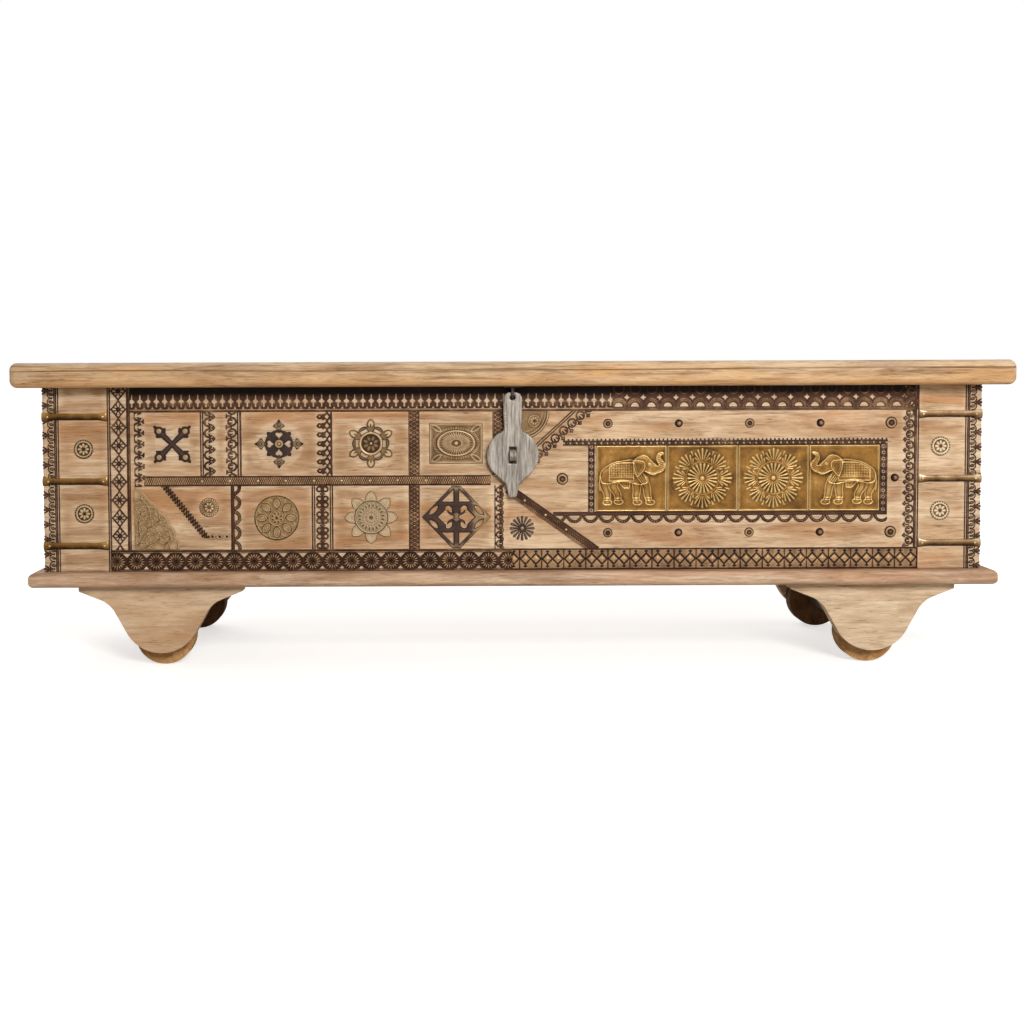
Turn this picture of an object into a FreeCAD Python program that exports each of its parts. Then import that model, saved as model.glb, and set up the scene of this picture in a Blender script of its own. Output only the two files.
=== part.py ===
"""Long wooden trunk on solid disc wheels, with stamped brass fittings nailed over its front.

The carcass is four boards on a mitred base moulding, with a loose bottom board and corner posts.
The lid is three planks on battens and swings on three butt hinges at the back.
A hasp hangs from an eye of square bar under the lid and drops over a staple on the front.
Four profiled brackets carry the ends of two through axles, and each axle has two wheels.

Millimetres, +Z up, the front faces -Y, the wheels stand on z = 0 and x = y = 0 is the middle.
"""

import FreeCAD
import Part
import Sketcher

import math
import os
import re

# Driving sizes
SIZES = {
    # carcass boards
    "case_depth": 352.5,
    "board_thickness": 20,
    "bottom_thickness": 12,
    "post_width": 30,
    "post_drop": 8,
    # lid
    "lid_overhang": 38.5,
    "lid_thickness": 37.2,
    "lid_edge_radius": 11,
    "batten_width": 60,
    "batten_thickness": 18,
    "batten_spacing": 460,
    "batten_clearance": 6,
    # base moulding
    "rail_thickness": 22.3,
    "rail_width": 70,
    "rail_projection": 20,
    "rail_edge_radius": 8,
    # foot brackets
    "bracket_height": 104,
    "bracket_top_width": 250,
    "bracket_thickness": 25,
    "bracket_setback": 3,
    "bracket_lip": 9,
    "shoulder_angle": 21.5,
    "cove_radius": 44,
    "flank_angle": 61,
    "toe_radius": 60,
    "left_foot_inset": 174.6,
    "right_foot_inset": 161.4,
    # wheels and axles
    "wheel_radius": 45.8,
    "wheel_thickness": 25,
    "axle_radius": 6,
    "axle_core_radius": 9,
    "axle_rise": 22.8,
    "axle_seat": 14,
    "axle_fit": 0.08,
    "washer_radius": 15,
    "washer_thickness": 2,
    "washer_play": 0.3,
    # hinges
    "hinge_length": 80,
    "hinge_leaf_height": 28,
    "hinge_leaf_thickness": 2.5,
    "hinge_spacing": 520,
    "knuckle_radius": 4.35,
    "knuckle_gap": 0.4,
    "knuckle_clearance": 0.3,
    "hinge_pin_radius": 2.2,
    "hinge_pin_head": 0.8,
    "hinge_pin_fit": 0.08,
    # hasp, its eye and its staple
    "hasp_offset": 13,
    "hasp_thickness": 2.5,
    "strap_width": 28.4,
    "strap_corner_radius": 12,
    "strap_top": 8,
    "hasp_disc_drop": 87,
    "hasp_disc_radius": 37.5,
    "waist_width": 24,
    "waist_rise": 43,
    "shoulder_rise": 21,
    "cheek_drop": 24,
    "tail_root_width": 20,
    "tail_root_drop": 45,
    "tail_tip_width": 11,
    "tail_tip_drop": 64,
    "tail_corner_radius": 4,
    "slot_width": 10.7,
    "slot_height": 25,
    "eye_bar": 4,
    "eye_radius": 5.5,
    "eye_leg": 10,
    "eye_plate_size": 26,
    "eye_plate_thickness": 2,
    "eye_clearance": 0.6,
    "eye_fit": 0.4,
    "staple_width": 9.5,
    "staple_height": 16,
    "staple_reach": 13,
    "padlock_hole_radius": 4,
    # front layout, left to right
    "edging_width": 24.5,
    "left_zone_width": 73,
    "left_border_width": 35,
    "cell_1_width": 145,
    "strip_1_width": 23.4,
    "cell_2_width": 113.8,
    "strip_2_width": 25,
    "cell_3_width": 114.5,
    "strip_3_width": 16.7,
    "cell_4_width": 110.6,
    "strip_4_width": 17,
    "crescent_strip_lead": 6,
    "crescent_strip_width": 15.3,
    "double_strip_lead": 39.4,
    "double_strip_width": 23.4,
    "lower_strip_1_width": 17,
    "lower_strip_2_width": 33.5,
    "middle_strip_lead": 20.5,
    "middle_strip_stop": 3,
    "hasp_zone_width": 128,
    "frame_strip_width": 11.4,
    "plate_pitch": 107.9,
    "right_margin_width": 23.3,
    "right_border_width": 24.3,
    "right_zone_width": 70,
    # front layout, bottom to top
    "border_height": 33,
    "row_height": 97,
    "middle_strip_height": 15.3,
    "top_gap": 5,
    "frame_rise": 38.6,
    "scallop_band_height": 17,
    "scallop_band_lead": 29,
    "plate_height": 101,
    "bead_band_height": 9.2,
    "bead_band_lead": 34,
    "top_seam_offset": 37,
    # sheet metal on the front
    "sheet_thickness": 1,
    "plate_gap": 1,
    "strap_iron_thickness": 2,
    "corner_strap_height": 13,
    "corner_strap_drop": 44.4,
    "corner_strap_pitch": 98.2,
    "corner_medallion_radius": 14.8,
    "corner_medallion_inset": 37,
    # ornaments in the cells
    "cell_gap": 1,
    "x_cross_core": 5.5,
    "x_cross_bar": 9,
    "x_cross_neck": 23,
    "x_cross_bud": 17,
    "x_cross_reach": 38,
    "cross_flower_disc": 21,
    "cross_flower_neck": 7,
    "cross_flower_bud": 15,
    "cross_flower_reach": 36.5,
    "lobed_flower_disc": 24,
    "lobed_flower_neck": 8,
    "lobed_flower_bud": 15,
    "lobed_flower_reach": 36.5,
    "oval_plate_width": 80.5,
    "oval_plate_height": 61,
    "leaf_plate_lead": 5,
    "leaf_plate_width": 67,
    "leaf_plate_top": 20,
    "leaf_plate_curve": 180,
    "small_rosette_radius": 14.8,
    "small_rosette_inset": 26.8,
    "small_rosette_lift": 16,
    "starburst_radius": 18.8,
    "starburst_offset": 14.7,
    "starburst_drop": 17.5,
    "medallion_radius": 34.4,
    "sunflower_disc": 28,
    "sunflower_petal": 23,
    "sunflower_shoulder": 34,
    "sunflower_reach": 41,
    "lattice_bar": 8,
    "diagonal_width": 15,
    "beaded_lead": 46,
    "beaded_cut": 11,
    "beaded_run": 61,
    "beaded_drop": 77,
    "bead_radius": 4.4,
    "bead_pitch": 11,
    "upper_diagonal_cut": 20,
    "upper_diagonal_run": 66,
    "upper_diagonal_drop": 56,
    "quarter_plate_radius": 42,
    # studs on the right of the front
    "stud_radius": 5,
    "stud_height": 2.4,
    "stud_drop": 15,
    "stud_rise": 24,
    "stud_pitch": 107.5,
    "stud_lead": 30,
}

# Counts
HINGES = 3
BATTENS = 3
PLATES = 4
STUDS_A_ROW = 5
STUD_SIDES = 12
BEADS = 3
STRAPS_A_CORNER = 3
CARCASS_KNUCKLES = (0, 2)
LID_KNUCKLES = (1,)
KNUCKLES = len(CARCASS_KNUCKLES) + len(LID_KNUCKLES)

# Sizes and places that follow from the driving ones
LAYOUT = {
    "case_width": "2*edging_width + left_zone_width + left_border_width + cell_1_width"
    " + strip_1_width + cell_2_width + strip_2_width + cell_3_width + strip_3_width"
    " + cell_4_width + strip_4_width + hasp_zone_width + 2*frame_strip_width"
    f" + {PLATES}*plate_pitch + right_margin_width + right_border_width + right_zone_width",
    "case_height": "2*border_height + 2*row_height + middle_strip_height + top_gap",
    "hinge_axis_offset": "knuckle_radius + knuckle_clearance",
    "overall_depth": "lid_overhang + case_depth + hinge_axis_offset + knuckle_radius",
    "front_y": "lid_overhang - overall_depth/2",
    "back_y": "front_y + case_depth",
    "left_x": "-case_width/2",
    "right_x": "case_width/2",
    "bracket_z": "wheel_radius - axle_rise",
    "base_z": "bracket_z + bracket_height",
    "case_z": "base_z + rail_thickness",
    "case_top": "case_z + case_height",
    "lid_width": "case_width + 2*lid_overhang",
    "lid_depth": "case_depth + lid_overhang",
    "inner_width": "case_width - 2*board_thickness",
    "inner_depth": "case_depth - 2*board_thickness",
    "rail_reach": "case_width + 2*rail_projection",
    "left_foot_x": "left_x + left_foot_inset",
    "right_foot_x": "right_x - right_foot_inset",
    "front_bracket_y": "front_y + bracket_setback",
    "back_bracket_y": "back_y - bracket_setback - bracket_thickness",
    "front_wheel_y": "front_bracket_y + bracket_thickness + washer_thickness + washer_play",
    "back_wheel_y": "back_bracket_y - washer_thickness - washer_play - wheel_thickness",
    "axle_start_y": "front_bracket_y + bracket_thickness - axle_seat",
    "axle_length": "back_bracket_y + axle_seat - axle_start_y",
    "axle_bore_radius": "axle_radius + axle_fit",
    "axle_core_y": "front_wheel_y + wheel_thickness + washer_play",
    "axle_core_length": "back_wheel_y - washer_play - axle_core_y",
    "hinge_axis_y": "back_y + hinge_axis_offset",
    "knuckle_length": f"hinge_length/{KNUCKLES}",
    "knuckle_tab": "knuckle_radius + knuckle_gap",
    "border_left_x": "left_x + edging_width + left_zone_width",
    "grid_x": "border_left_x + left_border_width",
    "strip_1_x": "grid_x + cell_1_width",
    "cell_2_x": "strip_1_x + strip_1_width",
    "strip_2_x": "cell_2_x + cell_2_width",
    "cell_3_x": "strip_2_x + strip_2_width",
    "strip_3_x": "cell_3_x + cell_3_width",
    "cell_4_x": "strip_3_x + strip_3_width",
    "strip_4_x": "cell_4_x + cell_4_width",
    "hasp_zone_x": "strip_4_x + strip_4_width",
    "crescent_strip_x": "grid_x + crescent_strip_lead",
    "double_strip_x": "strip_1_x - double_strip_lead",
    "lower_strip_1_x": "cell_2_x - lower_strip_1_width",
    "lower_strip_2_x": "cell_3_x - lower_strip_2_width",
    "middle_strip_x": "grid_x + middle_strip_lead",
    "frame_x": "hasp_zone_x + hasp_zone_width",
    "plates_x": "frame_x + frame_strip_width",
    "frame_end_x": f"plates_x + {PLATES}*plate_pitch",
    "margin_x": "frame_end_x + frame_strip_width",
    "border_right_x": "margin_x + right_margin_width",
    "lower_row_z": "case_z + border_height",
    "middle_strip_z": "lower_row_z + row_height",
    "upper_row_z": "middle_strip_z + middle_strip_height",
    "top_border_z": "upper_row_z + row_height",
    "lower_middle_z": "lower_row_z + row_height/2",
    "upper_middle_z": "upper_row_z + row_height/2",
    "scallop_band_z": "lower_row_z + frame_rise",
    "plates_z": "scallop_band_z + scallop_band_height",
    "bead_band_z": "plates_z + plate_height",
    "frame_top_z": "bead_band_z + bead_band_height",
    "diagonal_skew": "diagonal_width*sqrt(hasp_zone_width^2 + row_height^2)/row_height",
    "hasp_x": "hasp_zone_x + hasp_offset",
    "hasp_hole_radius": "eye_bar*sqrt(2)/2 + eye_fit",
    "eye_y": "front_y - sheet_thickness - eye_clearance - eye_bar/2 - eye_radius",
    "eye_z": "case_top - eye_plate_thickness - eye_leg",
    "hasp_hole_z": "eye_z - eye_radius",
    "hasp_disc_z": "hasp_hole_z - hasp_disc_drop",
    "hasp_front_y": "eye_y - hasp_thickness/2",
    "staple_tip_y": "hasp_front_y - staple_reach",
    "shoulder_half": "sqrt(hasp_disc_radius^2 - shoulder_rise^2)",
    "cheek_half": "sqrt(hasp_disc_radius^2 - cheek_drop^2)",
    "lattice_half_width": "cell_4_width/2 - 3*cell_gap",
    "lattice_half_height": "row_height/2 - cell_gap",
}

doc = FreeCAD.newDocument("Trunk")
nodes = []


def fill_sheet(name, cells, as_formula):
    """A sheet with one named cell for each entry."""
    sheet = doc.addObject("Spreadsheet::Sheet", name)
    for row, (alias, content) in enumerate(cells.items(), start=1):
        sheet.set(f"A{row}", alias)
        sheet.set(f"B{row}", f"={expand(content)}" if as_formula else str(content))
        sheet.setAlias(f"B{row}", alias)
    doc.recompute()
    return sheet


def expand(formula):
    """The formula with each size's name led by the sheet that holds it."""

    def lead(match):
        word = match.group()
        if word in SIZES:
            return f"Sizes.{word}"
        return f"Layout.{word}" if word in LAYOUT else word

    return re.sub(r"\b[a-z][a-z_0-9]*\b", lead, str(formula))


fill_sheet("Sizes", SIZES, as_formula=False)
layout = fill_sheet("Layout", LAYOUT, as_formula=True)


def value(formula):
    """The number that a formula comes to."""
    result = layout.evalExpression(expand(formula))
    return float(getattr(result, "Value", result))


def bind(target, **formulas):
    """Ties properties of an object to formulas."""
    for key, formula in formulas.items():
        target.setExpression(key, expand(formula))


def place(target, x="0", y="0", z="0"):
    """Ties an object's place to three formulas."""
    for axis, formula in zip("xyz", (x, y, z)):
        target.setExpression(f"Placement.Base.{axis}", expand(formula))


def node(target, label):
    """Names a finished piece and lists it for writing."""
    target.Label = label
    nodes.append(target)
    return target


def group(label, members):
    """Several separate solids kept as one named piece."""
    made = doc.addObject("Part::Compound", label)
    made.Links = members
    return node(made, label)


# Sketches and features


def body(name, x="0", y="0", z="0"):
    """An empty body that stands where three formulas say."""
    made = doc.addObject("PartDesign::Body", name)
    place(made, x, y, z)
    return made


def sketch(owner, plane="XZ_Plane"):
    """A sketch on one of a body's own planes. XZ looks from the front, and pads grow to -Y."""
    made = owner.newObject("Sketcher::SketchObject", f"{owner.Name}_sketch")
    origin = [feature for feature in owner.Origin.OriginFeatures if feature.Role == plane]
    made.AttachmentSupport = [(origin[0], "")]
    made.MapMode = "FlatFace"
    return made


def dimension(drawing, kind, *points, formula):
    """A driving dimension whose value is a formula."""
    amount = value(formula)
    if kind == "Angle":
        amount = math.radians(amount)
    index = drawing.addConstraint(Sketcher.Constraint(kind, *points, amount))
    drawing.setExpression(f"Constraints[{index}]", expand(formula))


def pin(drawing, geometry, end, x, y):
    """Fixes a point by its distances from the sketch's origin."""
    origin = (-1, 1)
    axes = {"x": -2, "y": -1}
    for axis, formula, kind in (("x", x, "DistanceX"), ("y", y, "DistanceY")):
        if abs(value(formula)) < 1e-9:
            drawing.addConstraint(Sketcher.Constraint("PointOnObject", geometry, end, axes[axis]))
        else:
            dimension(drawing, kind, *origin, geometry, end, formula=formula)


def spot(x, y):
    """A point in a sketch."""
    return FreeCAD.Vector(value(x), value(y), 0)


def polygon(drawing, corners):
    """A closed outline of straight lines through corners given as formulas."""
    count = len(corners)
    spots = [spot(*corner) for corner in corners]
    lines = [
        drawing.addGeometry(Part.LineSegment(spots[i], spots[(i + 1) % count]), False)
        for i in range(count)
    ]
    for i, line in enumerate(lines):
        following = lines[(i + 1) % count]
        drawing.addConstraint(Sketcher.Constraint("Coincident", line, 2, following, 1))
    for line, corner in zip(lines, corners):
        pin(drawing, line, 1, *corner)


def circle(drawing, radius, x="0", y="0"):
    """A circle about a point."""
    up = FreeCAD.Vector(0, 0, 1)
    ring = drawing.addGeometry(Part.Circle(spot(x, y), up, value(radius)), False)
    pin(drawing, ring, 3, x, y)
    dimension(drawing, "Radius", ring, formula=radius)


def pad(owner, drawing, length):
    """Pads a sketch by a formula."""
    made = owner.newObject("PartDesign::Pad", f"{owner.Name}_pad")
    made.Profile = drawing
    bind(made, Length=length)
    return made


def pocket(owner, drawing):
    """Cuts a sketch right through a body, both ways from its plane."""
    before = volume(owner)
    made = owner.newObject("PartDesign::Pocket", f"{owner.Name}_pocket")
    made.Profile = drawing
    made.Type = "ThroughAll"
    made.Midplane = True
    if volume(owner) >= before:
        raise RuntimeError(f"{owner.Name}: a pocket cut nothing")
    return made


def volume(owner):
    """A body's volume as it stands."""
    doc.recompute()
    return owner.Shape.Volume


def fillet(owner, radius, wanted):
    """Rounds the edges that a test picks by their middle and length."""
    doc.recompute()
    base = owner.Tip
    names = [
        f"Edge{index}"
        for index, edge in enumerate(base.Shape.Edges, start=1)
        if wanted(edge.BoundBox.Center, edge.Length)
    ]
    made = owner.newObject("PartDesign::Fillet", f"{owner.Name}_edges")
    made.Base = (base, names)
    bind(made, Radius=radius)


def around(owner, count):
    """Repeats a body's last feature about the way that it faces."""
    made = owner.newObject("PartDesign::PolarPattern", f"{owner.Name}_pattern")
    made.Originals = [owner.Group[-2]]
    axis = [feature for feature in owner.Origin.OriginFeatures if feature.Role == "Y_Axis"]
    made.Axis = (axis[0], [""])
    made.Angle = 360
    made.Occurrences = count
    owner.Tip = made
    return made


def slab(name, plane, corners, thickness, x="0", y="0", z="0"):
    """A flat piece with straight sides."""
    made = body(name, x, y, z)
    drawing = sketch(made, plane)
    polygon(drawing, corners)
    pad(made, drawing, thickness)
    return made


def oblong(width, height):
    """The corners of a rectangle that stands on the sketch's origin."""
    return [("0", "0"), (width, "0"), (width, height), ("0", height)]


def trim(name, x, z, width, height):
    """A rectangle of sheet metal laid on the front."""
    return slab(name, "XZ_Plane", oblong(width, height), "sheet_thickness", x, "front_y", z)


def disc(name, x, z, radius, thickness="sheet_thickness"):
    """A round of sheet metal laid on the front."""
    made = body(name, x, "front_y", z)
    drawing = sketch(made)
    circle(drawing, radius)
    pad(made, drawing, thickness)
    return made


def petalled(name, x, z, core, petal, count):
    """A sheet metal flower: a round with petals about it.

    A petal is given from its root outwards by its distance and its width there.
    """
    made = disc(name, x, z, core)
    drawing = sketch(made)
    low = [(along, f"-({across})/2") for along, across in petal]
    high = [(along, f"({across})/2") for along, across in reversed(petal) if across != "0"]
    polygon(drawing, low + high)
    pad(made, drawing, "sheet_thickness")
    around(made, count)
    return made


def near(a, b, slack=0.01):
    """True where two numbers are the same size."""
    return abs(a - b) < slack


# Carcass boards


def carcass_boards():
    """Four standing boards, the bottom board and the posts in the corners."""
    wall = oblong("case_width", "case_height")
    side = oblong("board_thickness", "inner_depth")
    inner_y = "front_y + board_thickness"
    front = slab("front_board", "XZ_Plane", wall, "board_thickness", "left_x", inner_y, "case_z")
    back = slab("back_board", "XZ_Plane", wall, "board_thickness", "left_x", "back_y", "case_z")
    left = slab("left_board", "XY_Plane", side, "case_height", "left_x", inner_y, "case_z")
    right_inner = "right_x - board_thickness"
    right = slab("right_board", "XY_Plane", side, "case_height", right_inner, inner_y, "case_z")
    floor = oblong("inner_width", "inner_depth")
    left_inner = "left_x + board_thickness"
    bottom = slab(
        "bottom_board", "XY_Plane", floor, "bottom_thickness", left_inner, inner_y, "case_z"
    )
    for piece in (front, back, left, right, bottom):
        node(piece, piece.Name)
    ends = (left_inner, "right_x - board_thickness - post_width")
    rows = (inner_y, "back_y - board_thickness - post_width")
    posts = [
        slab(
            "post",
            "XY_Plane",
            oblong("post_width", "post_width"),
            "case_height - bottom_thickness - post_drop",
            x,
            y,
            "case_z + bottom_thickness",
        )
        for x in ends
        for y in rows
    ]
    group("corner_posts", posts)


# Base moulding


def base_moulding():
    """Rails under the boards: mitred at the front corners, with a rounded nose outside."""
    radius = "min(rail_edge_radius; rail_thickness*0.45)"
    outer_x = "left_x - rail_projection"
    outer_y = "front_y - rail_projection"
    reach = "case_depth + rail_projection"
    front = [
        ("0", "0"),
        ("rail_reach", "0"),
        ("rail_reach - rail_width", "rail_width"),
        ("rail_width", "rail_width"),
    ]
    left = [("0", "0"), ("rail_width", "rail_width"), ("rail_width", reach), ("0", reach)]
    right = [("0", "rail_width"), ("rail_width", "0"), ("rail_width", reach), ("0", reach)]
    right_x = "right_x + rail_projection - rail_width"
    pieces = (
        ("front_rail", front, outer_x, lambda p: near(p.y, 0)),
        ("left_rail", left, outer_x, lambda p: near(p.x, 0)),
        ("right_rail", right, right_x, lambda p: near(p.x, value("rail_width"))),
    )
    for name, corners, x, outside in pieces:
        rail = slab(name, "XY_Plane", corners, "rail_thickness", x, outer_y, "base_z")
        middle = value("rail_thickness") / 2
        fillet(rail, radius, lambda p, _, test=outside: test(p) and not near(p.z, middle))
        node(rail, name)
    depth = "rail_width - rail_projection"
    back = slab(
        "back_rail",
        "XY_Plane",
        oblong("rail_reach - 2*rail_width", depth),
        "rail_thickness",
        f"{outer_x} + rail_width",
        f"back_y - ({depth})",
        "base_z",
    )
    node(back, "back_rail")


# Feet


def foot_outline(drawing):
    """Half bell on each side: a lip, a sloping shoulder, a cove, a flank and the round toe.

    The cove touches the shoulder and the flank, and the toe touches both flanks.
    """
    width, height, lip = (value(f"bracket_{name}") for name in ("top_width", "height", "lip"))
    shoulder, flank = (math.radians(value(f"{name}_angle")) for name in ("shoulder", "flank"))
    cove, toe = value("cove_radius"), value("toe_radius")
    along_shoulder = FreeCAD.Vector(math.cos(shoulder), -math.sin(shoulder))
    along_flank = FreeCAD.Vector(math.cos(flank), -math.sin(flank))
    off_shoulder = FreeCAD.Vector(-math.sin(shoulder), -math.cos(shoulder))
    off_flank = FreeCAD.Vector(-math.sin(flank), -math.cos(flank))
    edge = FreeCAD.Vector(0, height - lip)
    toe_touch = FreeCAD.Vector(width / 2, toe) + off_flank * toe
    span = toe_touch - edge + (off_flank - off_shoulder) * cove
    run = span.cross(along_flank).z / along_shoulder.cross(along_flank).z
    shoulder_touch = edge + along_shoulder * run
    centre = shoulder_touch + off_shoulder * cove
    flank_touch = centre - off_flank * cove

    def mirrored(point):
        return FreeCAD.Vector(width - point.x, point.y)

    def arc(middle, radius, start, end):
        ring = Part.Circle(middle, FreeCAD.Vector(0, 0, 1), radius)
        return drawing.addGeometry(Part.ArcOfCircle(ring, start, end), False)

    def line(start, end):
        return drawing.addGeometry(Part.LineSegment(start, end), False)

    quarter = math.pi / 2
    corner = FreeCAD.Vector(0, height)
    lip_left = line(corner, edge)
    shoulder_left = line(shoulder_touch, edge)
    cove_left = arc(centre, cove, quarter - flank, quarter - shoulder)
    flank_left = line(toe_touch, flank_touch)
    toe_arc = arc(
        FreeCAD.Vector(width / 2, toe), toe, 3 * quarter - flank, 3 * quarter + flank
    )
    flank_right = line(mirrored(toe_touch), mirrored(flank_touch))
    cove_right = arc(mirrored(centre), cove, quarter + shoulder, quarter + flank)
    shoulder_right = line(mirrored(shoulder_touch), mirrored(edge))
    lip_right = line(mirrored(corner), mirrored(edge))
    top = line(mirrored(corner), corner)
    for kind, *ends in (
        ("Coincident", lip_left, 2, shoulder_left, 2),
        ("Tangent", shoulder_left, 1, cove_left, 2),
        ("Tangent", cove_left, 1, flank_left, 2),
        ("Tangent", flank_left, 1, toe_arc, 1),
        ("Tangent", toe_arc, 2, flank_right, 1),
        ("Tangent", flank_right, 2, cove_right, 2),
        ("Tangent", cove_right, 1, shoulder_right, 1),
        ("Coincident", shoulder_right, 2, lip_right, 2),
        ("Coincident", lip_right, 1, top, 1),
        ("Coincident", top, 2, lip_left, 1),
        ("Equal", cove_left, cove_right),
    ):
        drawing.addConstraint(Sketcher.Constraint(kind, *ends))
    pin(drawing, lip_left, 1, "0", "bracket_height")
    pin(drawing, lip_left, 2, "0", "bracket_height - bracket_lip")
    pin(drawing, lip_right, 1, "bracket_top_width", "bracket_height")
    pin(drawing, lip_right, 2, "bracket_top_width", "bracket_height - bracket_lip")
    pin(drawing, toe_arc, 3, "bracket_top_width/2", "toe_radius")
    dimension(drawing, "Radius", toe_arc, formula="toe_radius")
    dimension(drawing, "Radius", cove_left, formula="cove_radius")
    dimension(drawing, "Angle", flank_left, formula="180 - flank_angle")
    dimension(drawing, "Angle", flank_right, formula="flank_angle")
    dimension(drawing, "Angle", shoulder_left, formula="180 - shoulder_angle")
    dimension(drawing, "Angle", shoulder_right, formula="shoulder_angle")


def bracket(name, foot_x, y, inner_face):
    """A foot bracket, with a blind seat for the axle on its inner face."""
    made = body(name, f"{foot_x} - bracket_top_width/2", f"{y} + bracket_thickness", "bracket_z")
    outline = sketch(made)
    foot_outline(outline)
    pad(made, outline, "bracket_thickness")
    before = volume(made)
    seat = sketch(made)
    circle(seat, "axle_bore_radius", "bracket_top_width/2", "axle_rise")
    cut = made.newObject("PartDesign::Pocket", f"{name}_seat")
    cut.Profile = seat
    cut.Reversed = inner_face == "back"
    if inner_face == "front":
        seat.setExpression("AttachmentOffset.Base.z", expand("bracket_thickness"))
    bind(cut, Length="axle_seat")
    wanted = math.pi * value("axle_bore_radius") ** 2 * value("axle_seat")
    if not near(before - volume(made), wanted, slack=1):
        raise RuntimeError(f"{name}: the axle seat is not cut")
    return node(made, name)


def along_y(kind, name, x, y, z):
    """A primitive turned so that its own axis runs to the back."""
    made = doc.addObject(kind, name)
    made.Placement.Rotation = FreeCAD.Rotation(FreeCAD.Vector(1, 0, 0), -90)
    place(made, x, y, z)
    return made


def ring(name, x, y, z, outer, inner, thickness):
    """A flat ring that faces the front, from y to thickness behind it."""
    made = body(name, x, f"{y} + {thickness}", z)
    drawing = sketch(made)
    circle(drawing, outer)
    circle(drawing, inner)
    pad(made, drawing, thickness)
    return made


def axle(side):
    """A through axle whose thicker middle keeps its two wheels apart."""
    foot_x = f"{side}_foot_x"
    ends = along_y("Part::Cylinder", "axle_ends", foot_x, "axle_start_y", "wheel_radius")
    bind(ends, Radius="axle_radius", Height="axle_length")
    core = along_y("Part::Cylinder", "axle_core", foot_x, "axle_core_y", "wheel_radius")
    bind(core, Radius="axle_core_radius", Height="axle_core_length")
    made = doc.addObject("Part::Fuse", f"{side}_axle")
    made.Base = ends
    made.Tool = core
    return node(made, f"{side}_axle")


def wheel(name, foot_x, y):
    """A solid disc wheel."""
    made = ring(
        name, foot_x, y, "wheel_radius", "wheel_radius", "axle_bore_radius", "wheel_thickness"
    )
    return node(made, name)


def feet():
    """Brackets, axles, wheels and the washer between each wheel and its bracket."""
    washers = []
    for side in ("left", "right"):
        foot_x = f"{side}_foot_x"
        axle(side)
        for end, inner, washer_y in (
            ("front", "back", "front_wheel_y - washer_play - washer_thickness"),
            ("back", "front", "back_wheel_y + wheel_thickness + washer_play"),
        ):
            bracket(f"{end}_{side}_bracket", foot_x, f"{end}_bracket_y", inner)
            wheel(f"{end}_{side}_wheel", foot_x, f"{end}_wheel_y")
            washers.append(
                ring(
                    "washer", foot_x, washer_y, "wheel_radius", "washer_radius",
                    "axle_bore_radius", "washer_thickness",
                )
            )
    group("axle_washers", washers)


# Lid


def lid():
    """Three planks side by side, rounded where they overhang, and battens across them."""
    radius = "min(lid_edge_radius; lid_thickness*0.45)"
    plank = "lid_depth/3"
    width, thickness = value("lid_width"), value("lid_thickness")

    def at_end(p):
        return near(p.x, 0) or near(p.x, width)

    def at_face(p):
        return near(p.z, 0) or near(p.z, thickness)

    def outside_front(p, _):
        return (near(p.y, 0) and at_face(p)) or (at_end(p) and (at_face(p) or near(p.y, 0)))

    def outside(p, _):
        return at_end(p) and at_face(p)

    for place_in_row, (name, edges) in enumerate(
        (("front", outside_front), ("middle", outside), ("back", outside))
    ):
        made = slab(
            f"{name}_lid_plank",
            "XY_Plane",
            oblong("lid_width", plank),
            "lid_thickness",
            "-lid_width/2",
            f"front_y - lid_overhang + {place_in_row}*{plank}",
            "case_top",
        )
        fillet(made, radius, edges)
        node(made, f"{name}_lid_plank")
    clear = "board_thickness + batten_clearance"
    middle = (BATTENS - 1) / 2
    battens = [
        slab(
            "batten",
            "XY_Plane",
            oblong("batten_width", f"case_depth - 2*({clear})"),
            "batten_thickness",
            f"{index - middle}*batten_spacing - batten_width/2",
            f"front_y + {clear}",
            "case_top - batten_thickness",
        )
        for index in range(BATTENS)
    ]
    group("lid_battens", battens)


# Hinges


def along_x(name, x, radius, length):
    """A cylinder on the hinges' axis."""
    made = doc.addObject("Part::Cylinder", name)
    made.Placement.Rotation = FreeCAD.Rotation(FreeCAD.Vector(0, 1, 0), 90)
    place(made, x, "hinge_axis_y", "case_top")
    bind(made, Radius=radius, Height=length)
    return made


def block(name, x, z, length, height):
    """A box of leaf metal against the back."""
    made = doc.addObject("Part::Box", name)
    place(made, x, "back_y", z)
    bind(made, Length=length, Width="hinge_leaf_thickness", Height=height)
    return made


def leaf(name, start, numbers, below):
    """A hinge leaf: a plate, the tabs that lead to its knuckles, and the bored knuckles."""
    plate_z = "case_top - knuckle_tab - hinge_leaf_height" if below else "case_top + knuckle_tab"
    tab_z = "case_top - knuckle_tab" if below else "case_top"
    pieces = [block(f"{name}_plate", start, plate_z, "hinge_length", "hinge_leaf_height")]
    for number in numbers:
        x = f"{start} + {number}*knuckle_length + knuckle_gap/2"
        length = "knuckle_length - knuckle_gap"
        pieces.append(block(f"{name}_tab", x, tab_z, length, "knuckle_tab"))
        pieces.append(along_x(f"{name}_knuckle", x, "knuckle_radius", length))
    whole = doc.addObject("Part::MultiFuse", f"{name}_whole")
    whole.Shapes = pieces
    bore = along_x(f"{name}_bore", start, "hinge_pin_radius + hinge_pin_fit", "hinge_length")
    made = doc.addObject("Part::Cut", name)
    made.Base = whole
    made.Tool = bore
    return made


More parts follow.
